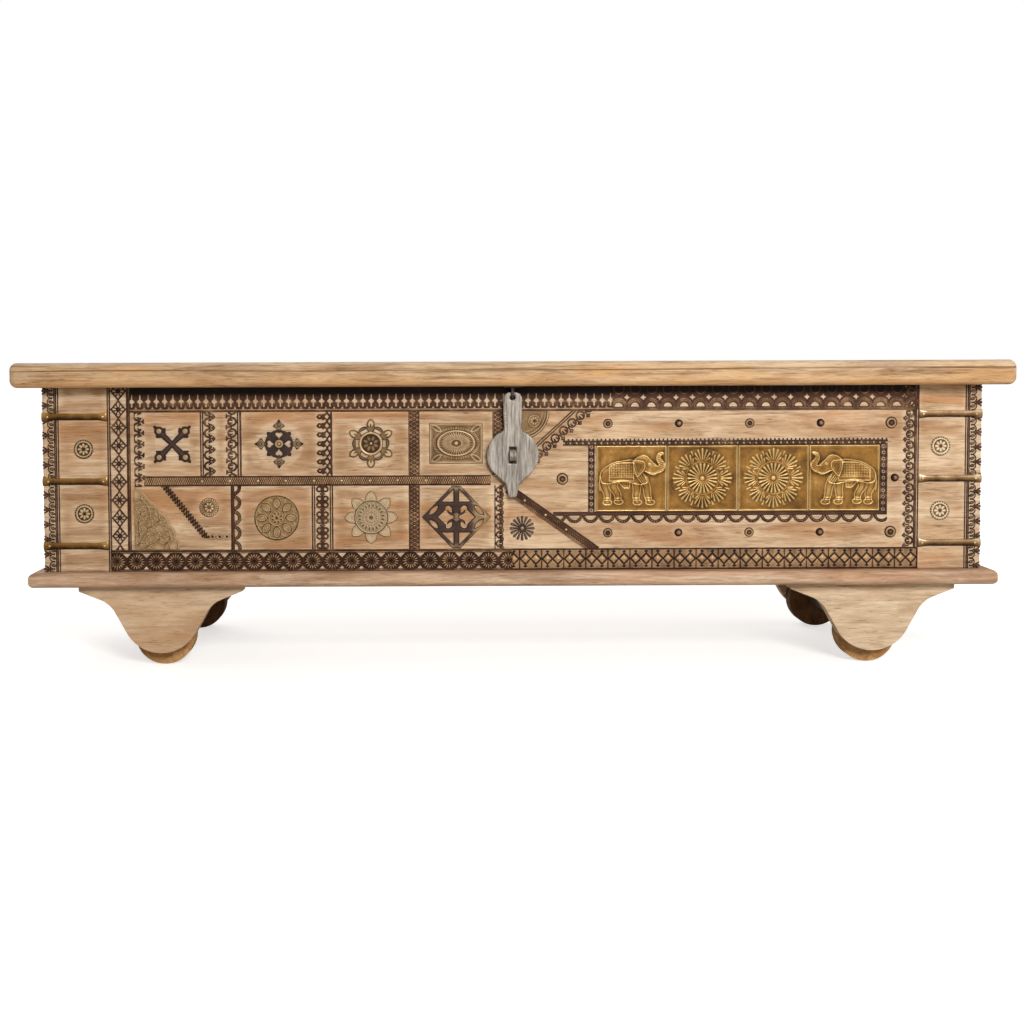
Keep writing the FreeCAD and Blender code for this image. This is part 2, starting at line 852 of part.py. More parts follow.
def hinges():
    """Butt hinges on the back: a leaf on the back board, a leaf on the lid, and a pin."""
    middle = (HINGES - 1) / 2
    starts = [f"{index - middle}*hinge_spacing - hinge_length/2" for index in range(HINGES)]
    fixed = [leaf("carcass_leaf", start, CARCASS_KNUCKLES, True) for start in starts]
    swung = [leaf("lid_leaf", start, LID_KNUCKLES, False) for start in starts]
    pins = [
        along_x(
            "pin",
            f"{start} - hinge_pin_head",
            "hinge_pin_radius",
            "hinge_length + 2*hinge_pin_head",
        )
        for start in starts
    ]
    group("carcass_hinge_leaves", fixed)
    group("lid_hinge_leaves", swung)
    group("hinge_pins", pins)


# Hasp


def hasp():
    """A flat hasp: a waisted strap, the disc and the tongue, with its hanging hole and its slot."""
    made = body("hasp", "hasp_x", "eye_y + hasp_thickness/2", "hasp_disc_z")
    round_part = sketch(made)
    circle(round_part, "hasp_disc_radius")
    pad(made, round_part, "hasp_thickness")
    top = "hasp_disc_drop + strap_top"
    strap = (("strap_width/2", top), ("waist_width/2", "waist_rise"),
             ("shoulder_half", "shoulder_rise"))
    tongue = (("cheek_half", "-cheek_drop"), ("tail_root_width/2", "-tail_root_drop"),
              ("tail_tip_width/2", "-tail_tip_drop"))
    for side in (strap, tongue):
        drawing = sketch(made)
        mirrored = [(f"-({x})", z) for x, z in reversed(side)]
        polygon(drawing, [*side, *mirrored])
        pad(made, drawing, "hasp_thickness")
    for height, radius in (
        (top, "min(strap_corner_radius; strap_width*0.45)"),
        ("-tail_tip_drop", "min(tail_corner_radius; tail_tip_width*0.45)"),
    ):
        level, middle = value(height), -value("hasp_thickness") / 2
        fillet(made, radius, lambda p, _: near(p.z, level) and near(p.y, middle))
    holes = sketch(made)
    circle(holes, "hasp_hole_radius", "0", "hasp_disc_drop")
    left, right = "-slot_width/2", "slot_width/2"
    low, high = "-slot_height/2", "slot_height/2"
    polygon(holes, [(left, low), (right, low), (right, high), (left, high)])
    pocket(made, holes)
    node(made, "hasp")


def bar(name, y, z, width, height):
    """A box of the eye's square bar, as wide as the bar and centred on the hasp."""
    made = doc.addObject("Part::Box", name)
    place(made, "hasp_x - eye_bar/2", y, z)
    bind(made, Length="eye_bar", Width=width, Height=height)
    return made


def hasp_eye():
    """A square bar bent to a loop under the lid, which the hasp hangs from, on a small plate."""
    plate = doc.addObject("Part::Box", "eye_plate")
    place(
        plate,
        "hasp_x - eye_plate_size/2",
        "eye_y - eye_plate_size/2 + eye_clearance",
        "case_top - eye_plate_thickness",
    )
    bind(
        plate, Length="eye_plate_size", Width="eye_plate_size/2 + eye_radius + eye_bar/2",
        Height="eye_plate_thickness",
    )
    legs = [
        bar("eye_leg", f"eye_y {side} eye_radius - eye_bar/2", "eye_z", "eye_bar", "eye_leg")
        for side in ("-", "+")
    ]
    bend = doc.addObject("Part::Cut", "eye_bend")
    bend.Base = half_round("eye_outside", "eye_radius + eye_bar/2")
    bend.Tool = half_round("eye_inside", "eye_radius - eye_bar/2")
    made = doc.addObject("Part::MultiFuse", "hasp_eye")
    made.Shapes = [plate, bend, *legs]
    node(made, "hasp_eye")


def half_round(name, radius):
    """The lower half of a round as thick as the eye's bar, about the middle of the eye."""
    made = doc.addObject("Part::Cylinder", name)
    across, back, down = (
        FreeCAD.Vector(1, 0, 0), FreeCAD.Vector(0, 1, 0), FreeCAD.Vector(0, 0, -1)
    )
    made.Placement.Rotation = FreeCAD.Rotation(-back, down, across, "ZXY")
    place(made, "hasp_x - eye_bar/2", "eye_y", "eye_z")
    made.Angle = 180
    bind(made, Radius=radius, Height="eye_bar")
    return made


def staple():
    """A flat lug with a rounded nose that stands out through the hasp's slot, drilled for a padlock."""
    made = body("staple", "hasp_x - staple_width/2", "front_y", "hasp_disc_z - staple_height/2")
    reach = "front_y - staple_tip_y"
    drawing = sketch(made)
    polygon(drawing, oblong("staple_width", "staple_height"))
    pad(made, drawing, reach)
    depth, height = value(reach), value("staple_height")
    fillet(
        made,
        "staple_height*0.45",
        lambda p, _: near(p.y, -depth) and (near(p.z, 0) or near(p.z, height)),
    )
    hole = sketch(made, "YZ_Plane")
    middle = f"{reach} - staple_reach + padlock_hole_radius + eye_clearance"
    bore = circle_in_front(hole, "padlock_hole_radius", middle, "staple_height/2")
    pocket(made, bore)
    node(made, "staple")


def circle_in_front(drawing, radius, depth, height):
    """A circle at a depth in front of the sketch's origin, where the sketch counts back as plus."""
    up = FreeCAD.Vector(0, 0, 1)
    middle = FreeCAD.Vector(-value(depth), value(height), 0)
    hole = drawing.addGeometry(Part.Circle(middle, up, value(radius)), False)
    dimension(drawing, "DistanceX", hole, 3, -1, 1, formula=depth)
    dimension(drawing, "DistanceY", -1, 1, hole, 3, formula=height)
    dimension(drawing, "Radius", hole, formula=radius)
    return drawing


# Corner fittings


def corner_angle(name, side, arm, lift, thickness, z, height):
    """An angle of sheet metal round a front corner, standing off the wood by lift."""
    out = f"({lift} + {thickness})"
    full = f"({arm} + {out})"
    left = [
        ("0", "0"), (full, "0"), (full, thickness), (thickness, thickness), (thickness, full),
        ("0", full),
    ]
    right = [
        ("0", "0"), (full, "0"), (full, full), (f"{full} - {thickness}", full),
        (f"{full} - {thickness}", thickness), ("0", thickness),
    ]
    x = f"left_x - {out}" if side == "left" else f"right_x - ({arm})"
    corners = left if side == "left" else right
    return slab(name, "XY_Plane", corners, height, x, f"front_y - {out}", z)


def corner_fittings():
    """Edging up the front corners, straps across it and a medallion between the straps."""
    edgings, straps, medallions = [], [], []
    for side in ("left", "right"):
        edgings.append(
            corner_angle(
                "edging", side, "edging_width", "0", "sheet_thickness", "case_z",
                "case_height - top_gap",
            )
        )
        arm = f"edging_width + {side}_zone_width"
        for index in range(STRAPS_A_CORNER):
            z = f"case_top - corner_strap_drop - {index}*corner_strap_pitch"
            straps.append(
                corner_angle(
                    "strap", side, arm, "sheet_thickness", "strap_iron_thickness",
                    f"{z} - corner_strap_height/2", "corner_strap_height",
                )
            )
        inward = "left_x + edging_width" if side == "left" else "right_x - edging_width"
        sign = "+" if side == "left" else "-"
        for index in range(STRAPS_A_CORNER - 1):
            z = f"case_top - corner_strap_drop - {index + 0.5}*corner_strap_pitch"
            medallions.append(
                disc(
                    "medallion", f"{inward} {sign} corner_medallion_inset", z,
                    "corner_medallion_radius", "strap_iron_thickness",
                )
            )
    group("corner_edgings", edgings)
    group("corner_straps", straps)
    group("corner_medallions", medallions)


# Borders and strips


def borders():
    """Stamped strips round the front, with two patterns end to end at the top and at the bottom."""
    full = "case_height - top_gap"
    node(trim("left_border", "border_left_x", "case_z", "left_border_width", full), "left_border")
    between = "2*row_height + middle_strip_height"
    node(
        trim("right_border", "border_right_x", "lower_row_z", "right_border_width", between),
        "right_border",
    )
    end = "border_right_x + right_border_width"
    for name, z, seam in (
        ("bottom_border", "case_z", "hasp_x"),
        ("top_border", "top_border_z", "frame_x + top_seam_offset"),
    ):
        group(
            name,
            [
                trim(f"{name}_left", "grid_x", z, f"{seam} - grid_x", "border_height"),
                trim(f"{name}_right", seam, z, f"{end} - ({seam})", "border_height"),
            ],
        )


def grid_strips():
    """The strip between the two rows of cells, and the upright strips between the cells."""
    middle = trim(
        "middle_strip", "middle_strip_x", "middle_strip_z",
        "strip_4_x - middle_strip_stop - middle_strip_x", "middle_strip_height",
    )
    node(middle, "middle_strip")
    shared = ("strip_3", "strip_4")
    rows = {
        "upper": ("crescent_strip", "double_strip", "strip_1", "strip_2", *shared),
        "lower": ("lower_strip_1", "lower_strip_2", *shared),
    }
    for row, strips in rows.items():
        uprights = [
            trim("upright", f"{strip}_x", f"{row}_row_z", f"{strip}_width", "row_height")
            for strip in strips
        ]
        group(f"{row}_row_strips", uprights)


def slanted(name, x, z, run, rise, width):
    """A strip that climbs by rise over run, cut level at both ends, width wide along the cut."""
    level = [("0", "0"), (width, "0"), (f"{run} + {width}", rise), (run, rise)]
    return slab(name, "XZ_Plane", level, "sheet_thickness", x, "front_y", z)


def falling(name, x, z, run, rise, width):
    """A strip that falls by rise over run, cut level at both ends, width wide along the cut."""
    level = [(run, "0"), (f"{run} + {width}", "0"), (width, rise), ("0", rise)]
    return slab(name, "XZ_Plane", level, "sheet_thickness", x, "front_y", z)


def diagonals():
    """The slanting strips: under the hasp, beside it, and the beaded one with its loose beads."""
    lower = falling(
        "lower", "hasp_zone_x + cell_gap", "lower_row_z",
        "hasp_zone_width - diagonal_skew - 2*cell_gap", "row_height", "diagonal_skew",
    )
    upper = slanted(
        "upper", "hasp_x + hasp_disc_radius", "top_border_z - upper_diagonal_drop",
        "upper_diagonal_run", "upper_diagonal_drop", "upper_diagonal_cut",
    )
    beaded_x, beaded_z = "grid_x + beaded_lead", "middle_strip_z - beaded_drop"
    beaded = falling("beaded", beaded_x, beaded_z, "beaded_run", "beaded_drop", "beaded_cut")
    first_bead_x = f"{beaded_x} + beaded_run + beaded_cut + bead_radius + cell_gap/2"
    beads = [
        disc(
            "bead", f"{first_bead_x} + {i}*bead_pitch", beaded_z, "bead_radius",
        )
        for i in range(BEADS)
    ]
    group("diagonal_strips", [lower, upper, beaded, *beads])


# Ornaments in the cells


def cell_ornaments():
    """One stamped ornament in the middle of each cell, and two small rosettes."""
    upper_first_x = "(crescent_strip_x + crescent_strip_width + double_strip_x)/2"
    upper_second_x = "cell_2_x + cell_2_width/2"
    lower_second_x = "(cell_2_x + lower_strip_2_x)/2"
    third_x = "cell_3_x + cell_3_width/2"
    fourth_x = "cell_4_x + cell_4_width/2"
    low, high = "lower_middle_z", "upper_middle_z"
    flowers = (
        ("x_cross", upper_first_x, high, "x_cross_core", 4, (
            ("0", "x_cross_bar"), ("x_cross_neck", "x_cross_bar"),
            ("x_cross_reach - x_cross_bud/2", "x_cross_bud"), ("x_cross_reach", "0"),
        )),
        ("cross_flower", upper_second_x, high, "cross_flower_disc", 4, (
            ("0", "cross_flower_neck"), ("cross_flower_disc", "cross_flower_neck"),
            ("cross_flower_reach - cross_flower_bud/2", "cross_flower_bud"),
            ("cross_flower_reach", "0"),
        )),
        ("lobed_flower", third_x, high, "lobed_flower_disc", 6, (
            ("0", "lobed_flower_neck"), ("lobed_flower_disc", "lobed_flower_neck"),
            ("lobed_flower_reach - lobed_flower_bud/2", "lobed_flower_bud"),
            ("lobed_flower_reach", "0"),
        )),
        ("sunflower", third_x, low, "sunflower_disc", 8, (
            ("0", "sunflower_petal"), ("sunflower_shoulder", "sunflower_petal"),
            ("sunflower_reach", "0"),
        )),
    )
    for name, x, z, core, count, petal in flowers:
        node(petalled(name, x, z, core, petal, count), name)
    for name, turn in (("x_cross", 45), ("lobed_flower", 30)):
        flower = doc.getObject(name)
        flower.Placement.Rotation = FreeCAD.Rotation(FreeCAD.Vector(0, 1, 0), turn)
    oval = trim(
        "oval_plate", f"{fourth_x} - oval_plate_width/2", f"{high} - oval_plate_height/2",
        "oval_plate_width", "oval_plate_height",
    )
    node(oval, "oval_plate")
    node(disc("round_medallion", lower_second_x, low, "medallion_radius"), "round_medallion")
    small = [
        disc(
            "rosette", "strip_1_x - small_rosette_inset", f"{low} + small_rosette_lift",
            "small_rosette_radius",
        ),
        disc(
            "starburst", "hasp_x + starburst_offset", f"{low} - starburst_drop",
            "starburst_radius",
        ),
    ]
    group("small_rosettes", small)
    leaf_plate()
    lattice(fourth_x, low)
    quarter_plate()


def bowed(drawing, start, end, radius):
    """An arc from start to end, counted anticlockwise, with a radius that is a formula."""
    first, last = spot(*start), spot(*end)
    reach = value(radius)
    half = (last - first) * 0.5
    inward = FreeCAD.Vector(-half.y, half.x, 0).normalize()
    centre = first + half + inward * math.sqrt(reach**2 - half.Length**2)
    angles = [math.atan2(point.y - centre.y, point.x - centre.x) for point in (first, last)]
    circle_of = Part.Circle(centre, FreeCAD.Vector(0, 0, 1), reach)
    made = drawing.addGeometry(Part.ArcOfCircle(circle_of, *angles), False)
    dimension(drawing, "Radius", made, formula=radius)
    return made


def bowed_plate(name, x, z, corners, bow, radius):
    """A plate through corners given as formulas, whose edge after corner number bow bows out."""
    made = body(name, x, "front_y", z)
    drawing = sketch(made)
    count = len(corners)
    edges = []
    for i in range(count):
        start, end = corners[i], corners[(i + 1) % count]
        if i == bow:
            edges.append(bowed(drawing, start, end, radius))
        else:
            line = Part.LineSegment(spot(*start), spot(*end))
            edges.append(drawing.addGeometry(line, False))
    for i, edge in enumerate(edges):
        following = edges[(i + 1) % count]
        drawing.addConstraint(Sketcher.Constraint("Coincident", edge, 2, following, 1))
    for edge, corner in zip(edges, corners):
        pin(drawing, edge, 1, *corner)
    pad(made, drawing, "sheet_thickness")
    return node(made, name)


def leaf_plate():
    """The plate in the lower left cell, with one long bowed side."""
    height = "row_height - 2*cell_gap"
    corners = [("0", "0"), ("leaf_plate_width", "0"), ("leaf_plate_top", height), ("0", height)]
    bowed_plate(
        "leaf_plate", "grid_x + leaf_plate_lead", "lower_row_z + cell_gap", corners, 1,
        "leaf_plate_curve",
    )


def quarter_plate():
    """A quarter round under the top border, beside the hasp's strap."""
    radius = "quarter_plate_radius"
    corners = [("0", "0"), (radius, radius), ("0", radius)]
    bowed_plate(
        "quarter_plate", "hasp_x + strap_width/2", f"top_border_z - cell_gap - {radius}", corners,
        0, radius,
    )


def lattice(x, z):
    """An open diamond with an upright and a cross bar."""
    wide, high = "lattice_half_width", "lattice_half_height"
    made = body("lattice_diamond", f"{x} - {wide}", "front_y", f"{z} - {high}")
    frame = sketch(made)
    polygon(frame, diamond(wide, high, "0"))
    polygon(frame, diamond(wide, high, "lattice_bar"))
    pad(made, frame, "sheet_thickness")
    bars = sketch(made)
    left, right = f"{wide} - lattice_bar/2", f"{wide} + lattice_bar/2"
    low, top = "lattice_bar", f"2*{high} - lattice_bar"
    polygon(bars, [(left, low), (right, low), (right, top), (left, top)])
    pad(made, bars, "sheet_thickness")
    across = sketch(made)
    low, top = f"{high} - lattice_bar/2", f"{high} + lattice_bar/2"
    left, right = "lattice_bar", f"2*{wide} - lattice_bar"
    polygon(across, [(left, low), (right, low), (right, top), (left, top)])
    pad(made, across, "sheet_thickness")
    return node(made, "lattice_diamond")


def diamond(wide, high, inset):
    """The corners of a diamond, drawn in by inset at each corner."""
    return [
        (inset, high), (wide, inset), (f"2*{wide} - {inset}", high), (wide, f"2*{high} - {inset}"),
    ]


# Studs


def stud(x, z):
    """A nail head on the front, hammered to a flat crown with many sides."""
    made = doc.addObject("Part::Prism", "stud")
    made.Polygon = STUD_SIDES
    made.Placement.Rotation = FreeCAD.Rotation(FreeCAD.Vector(1, 0, 0), 90)
    place(made, x, "front_y", z)
    bind(made, Circumradius="stud_radius", Height="stud_height")
    return made


def studs():
    """Nail heads in a row above the plates and a row below, one beside them and one by the hasp."""
    columns = [f"frame_x + stud_lead + {index}*stud_pitch" for index in range(STUDS_A_ROW)]
    rows = ("frame_top_z + stud_rise", "scallop_band_z - stud_drop")
    spots = [(x, z) for z in rows for x in columns]
    spots.append(("margin_x + right_margin_width/2", "plates_z + plate_height/2"))
    spots.append(("frame_x - bead_band_lead - stud_radius", "plates_z + plate_height/2"))
    group("panel_studs", [stud(x, z) for x, z in spots])


def picture_frame():
    """Bands and strips round the row of plates, and the plates."""
    bands = [
        trim(
            "bead_band", "frame_x - bead_band_lead", "bead_band_z",
            "margin_x - frame_x + bead_band_lead", "bead_band_height",
        ),
        trim(
            "scallop_band", "frame_x - scallop_band_lead", "scallop_band_z",
            "margin_x - frame_x + scallop_band_lead", "scallop_band_height",
        ),
        trim("frame_left", "frame_x", "plates_z", "frame_strip_width", "plate_height"),
        trim("frame_right", "frame_end_x", "plates_z", "frame_strip_width", "plate_height"),
    ]
    group("plate_frame", bands)
    names = ("left_elephant_plate", "left_mandala_plate", "right_mandala_plate",
             "right_elephant_plate")
    for index, name in enumerate(names):
        plate = trim(
            name, f"plates_x + {index}*plate_pitch + plate_gap/2", "plates_z + plate_gap/2",
            "plate_pitch - plate_gap", "plate_height - plate_gap",
        )
        node(plate, name)


# Build, check and write

carcass_boards()
base_moulding()
feet()
lid()
hinges()
hasp()
hasp_eye()
staple()
corner_fittings()
borders()
grid_strips()
diagonals()
cell_ornaments()
picture_frame()
studs()

doc.recompute()
for item in doc.Objects:
    if {"Invalid", "Error"} & set(item.State):
        raise RuntimeError(f"{item.Name}: {item.State}")
for piece in nodes:
    shape = piece.Shape
    if shape.isNull() or not shape.isValid() or not shape.Solids:
        raise RuntimeError(f"{piece.Label}: no sound solid")

os.makedirs("parts", exist_ok=True)
for piece in nodes:
    piece.Shape.exportStep(f"parts/{piece.Label}.step")
print(len(nodes), "pieces written")
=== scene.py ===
"""Looks of a brass-fitted wooden trunk on wheels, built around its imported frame.

Drawings are in millimetres on the face that carries them, and meshes are in metres.
A drawing takes two arrays, how far each point lies across and up from the middle of its
panel, and gives a stamp: how far the point lies inside the metal and how high it stands.
"""

import logging
import math
from collections.abc import Callable, Sequence
from dataclasses import dataclass
from enum import Enum
from functools import partial

import bpy
import numpy as np
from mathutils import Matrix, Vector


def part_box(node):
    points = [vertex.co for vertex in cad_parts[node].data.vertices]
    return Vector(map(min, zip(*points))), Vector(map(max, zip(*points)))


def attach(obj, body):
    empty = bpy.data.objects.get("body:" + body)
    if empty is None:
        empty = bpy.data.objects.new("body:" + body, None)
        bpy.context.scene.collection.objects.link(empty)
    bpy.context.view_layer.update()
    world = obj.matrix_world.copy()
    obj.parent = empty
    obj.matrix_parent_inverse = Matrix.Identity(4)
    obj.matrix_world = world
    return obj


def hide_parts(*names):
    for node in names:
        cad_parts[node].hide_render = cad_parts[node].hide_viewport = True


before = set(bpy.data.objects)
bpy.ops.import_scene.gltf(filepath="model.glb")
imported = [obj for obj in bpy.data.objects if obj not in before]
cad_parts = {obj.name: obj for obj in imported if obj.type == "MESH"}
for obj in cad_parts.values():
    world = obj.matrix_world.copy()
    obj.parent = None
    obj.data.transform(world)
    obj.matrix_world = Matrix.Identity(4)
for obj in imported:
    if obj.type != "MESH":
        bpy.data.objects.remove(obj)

LOG = logging.getLogger("trunk")
MM = 0.001

# Stamping: how far rim points may slide in a grid square, the least slope and metal that count,
# the thinnest sheet under the relief, and the neighbourhood that patina is measured against
SLIDE_SHARE = 0.55
LEAST_SLOPE = 0.05
LEAST_SHARE = 0.02
THINNEST_SHEET = 0.15
PATINA_REACH = 3.5

# Solids whose middles lie within this height of each other count as one row
ROW_HEIGHT = 20

Array = np.ndarray
Colour = tuple[float, float, float, float]
Point = tuple[float, float]
Place = tuple[float, float, float]
Socket = bpy.types.NodeSocket


# Colours and shader nodes


def paint(code: str) -> Colour:
    """Turns a six-figure screen colour into the linear colour that a shader takes."""
    steps = [int(code[i:i + 2], 16) / 255 for i in (0, 2, 4)]
    red, green, blue = (s / 12.92 if s <= 0.04045 else ((s + 0.055) / 1.055) ** 2.4 for s in steps)
    return (red, green, blue, 1.0)


class Grain(Enum):
    """The way a board's fibres run, as how slowly its pattern changes along X, Y and Z."""

    ALONG_X = (0.07, 1.0, 1.0)
    ALONG_Y = (1.0, 0.07, 1.0)
    ALONG_Z = (1.0, 1.0, 0.07)


class Shader:
    """One procedural material and the nodes that feed its Principled shader."""

    def __init__(self, name: str) -> None:
        """Starts a material with a bare Principled shader."""
        self.material = bpy.data.materials.new(name)
        self.material.use_nodes = True
        self.nodes = self.material.node_tree.nodes
        self.links = self.material.node_tree.links
        self.principled = self.nodes["Principled BSDF"]

    def add(self, kind: str, inputs: dict | None = None, **settings: object) -> bpy.types.Node:
        """Adds a node.

        Args:
            kind: the node's type, without its ShaderNode prefix.
            inputs: socket names or numbers, each with a value or another node's socket.
            settings: the node's own properties.

        Returns:
            The new node.
        """
        node = self.nodes.new("ShaderNode" + kind)
        for key, value in settings.items():
            setattr(node, key, value)
        for key, value in (inputs or {}).items():
            self.feed(node, key, value)
        return node

    def feed(self, node: bpy.types.Node, key: str | int, value: object) -> None:
        """Links a socket to one of a node's inputs, or sets a plain value there."""
        if isinstance(value, Socket):
            self.links.new(value, node.inputs[key])
        else:
            node.inputs[key].default_value = value

    def finish(self, **inputs: object) -> bpy.types.Material:
        """Feeds the Principled shader, whose socket names are written with underscores."""
        for key, value in inputs.items():
            self.feed(self.principled, key.replace("_", " "), value)
        return self.material

    def place(self, scale: Sequence[float], shift: float = 0.0) -> Socket:
        """Gives Object coordinates, stretched and moved along each axis."""
        source = self.add("TexCoord").outputs["Object"]
        inputs = {"Vector": source, "Scale": scale, "Location": (shift, shift * 0.7, shift * 1.3)}
        return self.add("Mapping", inputs).outputs["Vector"]

    def noise(self, vector: Socket, scale: float, detail: float = 4.0,
              rough: float = 0.55, bend: float = 0.0) -> Socket:
        """Gives a cloudy value between 0 and 1."""
        inputs = {"Vector": vector, "Scale": scale, "Detail": detail, "Roughness": rough}
        return self.add("TexNoise", {**inputs, "Distortion": bend}).outputs["Fac"]

    def span(self, value: Socket, low: float, high: float,
             start: float = 0.0, end: float = 1.0) -> Socket:
        """Stretches the part of a value between low and high to start and end."""
        inputs = {"Value": value, "From Min": low, "From Max": high, "To Min": start, "To Max": end}
        return self.add("MapRange", inputs, clamp=True).outputs["Result"]

    def mix(self, share: object, first: object, second: object) -> Socket:
        """Blends two colours by a share of the second."""
        return self.add("Mix", {0: share, 6: first, 7: second}, data_type="RGBA").outputs[2]

    def maths(self, way: str, first: object, second: object) -> Socket:
        """Joins two values by one sum."""
        return self.add("Math", {0: first, 1: second}, operation=way).outputs["Value"]

    def reading(self, axis: str) -> Socket:
        """Gives one of a point's Object coordinates, in metres."""
        source = self.add("TexCoord").outputs["Object"]
        return self.add("SeparateXYZ", {"Vector": source}).outputs[axis]

    def beside(self, value: Socket, spot: float,
               reach: float) -> Socket:
        """Gives a mark that is full where a value meets a spot, and gone at a reach from it."""
        off = self.maths("ABSOLUTE", self.maths("SUBTRACT", value, spot), 0.0)
        return self.span(off, reach, 0.3 * reach)

    def bump(self, height: Socket, strength: float,
             distance: float) -> Socket:
        """Gives normals roughened by a height."""
        inputs = {"Height": height, "Strength": strength, "Distance": distance}
        return self.add("Bump", inputs).outputs["Normal"]

    def attribute(self, name: str) -> Socket:
        """Gives a value that the mesh holds at each of its points."""
        return self.add("Attribute", attribute_name=name).outputs["Fac"]


# Finishes


@dataclass(frozen=True)
class WoodFinish:
    """Limed hardwood: tan boards with amber patches, streaks along the grain, open pores and white wax.

    Between the two glow heights, in metres, the wood turns amber towards its lower edge, and between
    the painted highlight band's heights it turns pale towards its upper edge, a painted highlight, with
    a dark broken line below. Joints are places along an axis where planks meet in a dark line. The rub
    attribute is wax where it is positive and darkening where it is negative.
    """

    name: str
    grain: Grain = Grain.ALONG_X
    shift: float = 0.0
    pale: str = "d6b894"
    tan: str = "ab845f"
    amber: str = "b67b48"
    pore: str = "694829"
    wax: str = "e0ccb0"
    darkening: str = "8a623f"
    amber_share: float = 0.7
    wax_share: float = 0.5
    streak_share: float = 0.62
    broad_step: float = 0.24
    joint_reach: float = 0.0015
    rub_attribute: str = ""
    glow: Point | None = None
    painted_highlight_band: Point | None = None
    joints: tuple[float, ...] = ()
    joint_axis: str = "Y"

    def material(self) -> bpy.types.Material:
        """Makes the wood: patches, streaks, fibres and pores, each a noise drawn out along the grain.

        Returns:
            The procedural material.
        """
        shader = Shader(self.name)
        along = shader.place(self.grain.value, self.shift)
        broad = shader.place([max(step, self.broad_step) for step in self.grain.value], self.shift)
        cloud = shader.noise(broad, 30.0, 5.0, 0.65, 0.5)
        patches = shader.noise(broad, 13.0, 3.0, 0.55, 0.9)
        streaks = shader.noise(along, 150.0, 4.0, 0.65, 0.6)
        fibres = shader.noise(along, 480.0, 3.0, 0.65)
        pores = shader.noise(along, 760.0, 2.0, 0.5)
        lime = shader.noise(along, 64.0, 6.0, 0.7, 0.8)
        colour = shader.mix(shader.span(cloud, 0.39, 0.61), paint(self.pale), paint(self.tan))
        amber = shader.maths("MULTIPLY", shader.span(patches, 0.48, 0.66), self.amber_share)
        if self.glow:
            amber = shader.maths("MAXIMUM", amber, self.lower_glow(shader))
        colour = shader.mix(amber, colour, paint(self.amber))
        wax = shader.maths("MULTIPLY", shader.span(lime, 0.48, 0.68), self.wax_share)
        if self.rub_attribute:
            rub = shader.attribute(self.rub_attribute)
            wax = shader.maths("MAXIMUM", wax, rub)
            patchy = shader.span(lime, 0.62, 0.38, 0.4, 1.0)
            darkening = shader.maths("MULTIPLY", shader.span(rub, 0.0, -1.0), patchy)
            colour = shader.mix(darkening, colour, paint(self.darkening))
        if self.painted_highlight_band:
            # Painted highlight: the wood turns pale towards its upper edge, where the rounded top
            # catches the light.
            painted_highlight = shader.span(shader.reading("Z"), *self.painted_highlight_band, 0.0, 0.55)
            wax = shader.maths("MAXIMUM", wax, painted_highlight)
        # The wax share also carries the painted highlight along the upper edge.
        colour = shader.mix(wax, colour, paint(self.wax))
        dark = shader.maths("MULTIPLY", shader.span(streaks, 0.5, 0.72), self.streak_share)
        colour = shader.mix(dark, colour, paint(self.pore))
        if self.painted_highlight_band:
            colour = shader.mix(self.upper_crack(shader, along, patches), colour, paint(self.pore))
        for joint in self.joints:
            seam = shader.beside(shader.reading(self.joint_axis), joint, self.joint_reach)
            colour = shader.mix(seam, colour, paint(self.pore))
        colour = shader.mix(shader.span(fibres, 0.42, 0.66, 0.0, 0.5), colour, paint(self.tan))
        open_grain = shader.span(cloud, 0.3, 0.6, 0.28, 0.72)
        pits = shader.maths("MULTIPLY", shader.span(pores, 0.61, 0.71), open_grain)
        colour = shader.mix(pits, colour, paint(self.pore))
        relief = shader.maths("SUBTRACT", fibres, shader.maths("MULTIPLY", pits, 0.6))
        return shader.finish(
            Base_Color=colour,
            Roughness=shader.span(fibres, 0.2, 0.8, 0.58, 0.8),
            Specular_IOR_Level=0.2,
            Normal=shader.bump(relief, 0.35, 0.0006),
        )

    def lower_glow(self, shader: Shader) -> Socket:
        """Gives the amber's share by height: full at the lower edge, less above it and underneath."""
        low, high = self.glow
        height = shader.reading("Z")
        under = shader.span(height, low - 2 * MM, low, 0.3, 1.0)
        return shader.maths("MULTIPLY", shader.span(height, high, low, 0.0, 0.85), under)

    def upper_crack(self, shader: Shader, along: Socket,
                    patches: Socket) -> Socket:
        """Gives a thin line below the painted highlight band, which wanders up and down and is broken
        by the patches.
        """
        wander = shader.span(shader.noise(along, 16.0, 2.0, 0.5), 0.3, 0.7, -4 * MM, 4 * MM)
        height = shader.maths("SUBTRACT", shader.reading("Z"), wander)
        near = shader.beside(height, self.painted_highlight_band[0] - MM, 1.6 * MM)
        return shader.maths("MULTIPLY", near, shader.span(patches, 0.4, 0.55, 0.1, 0.9))


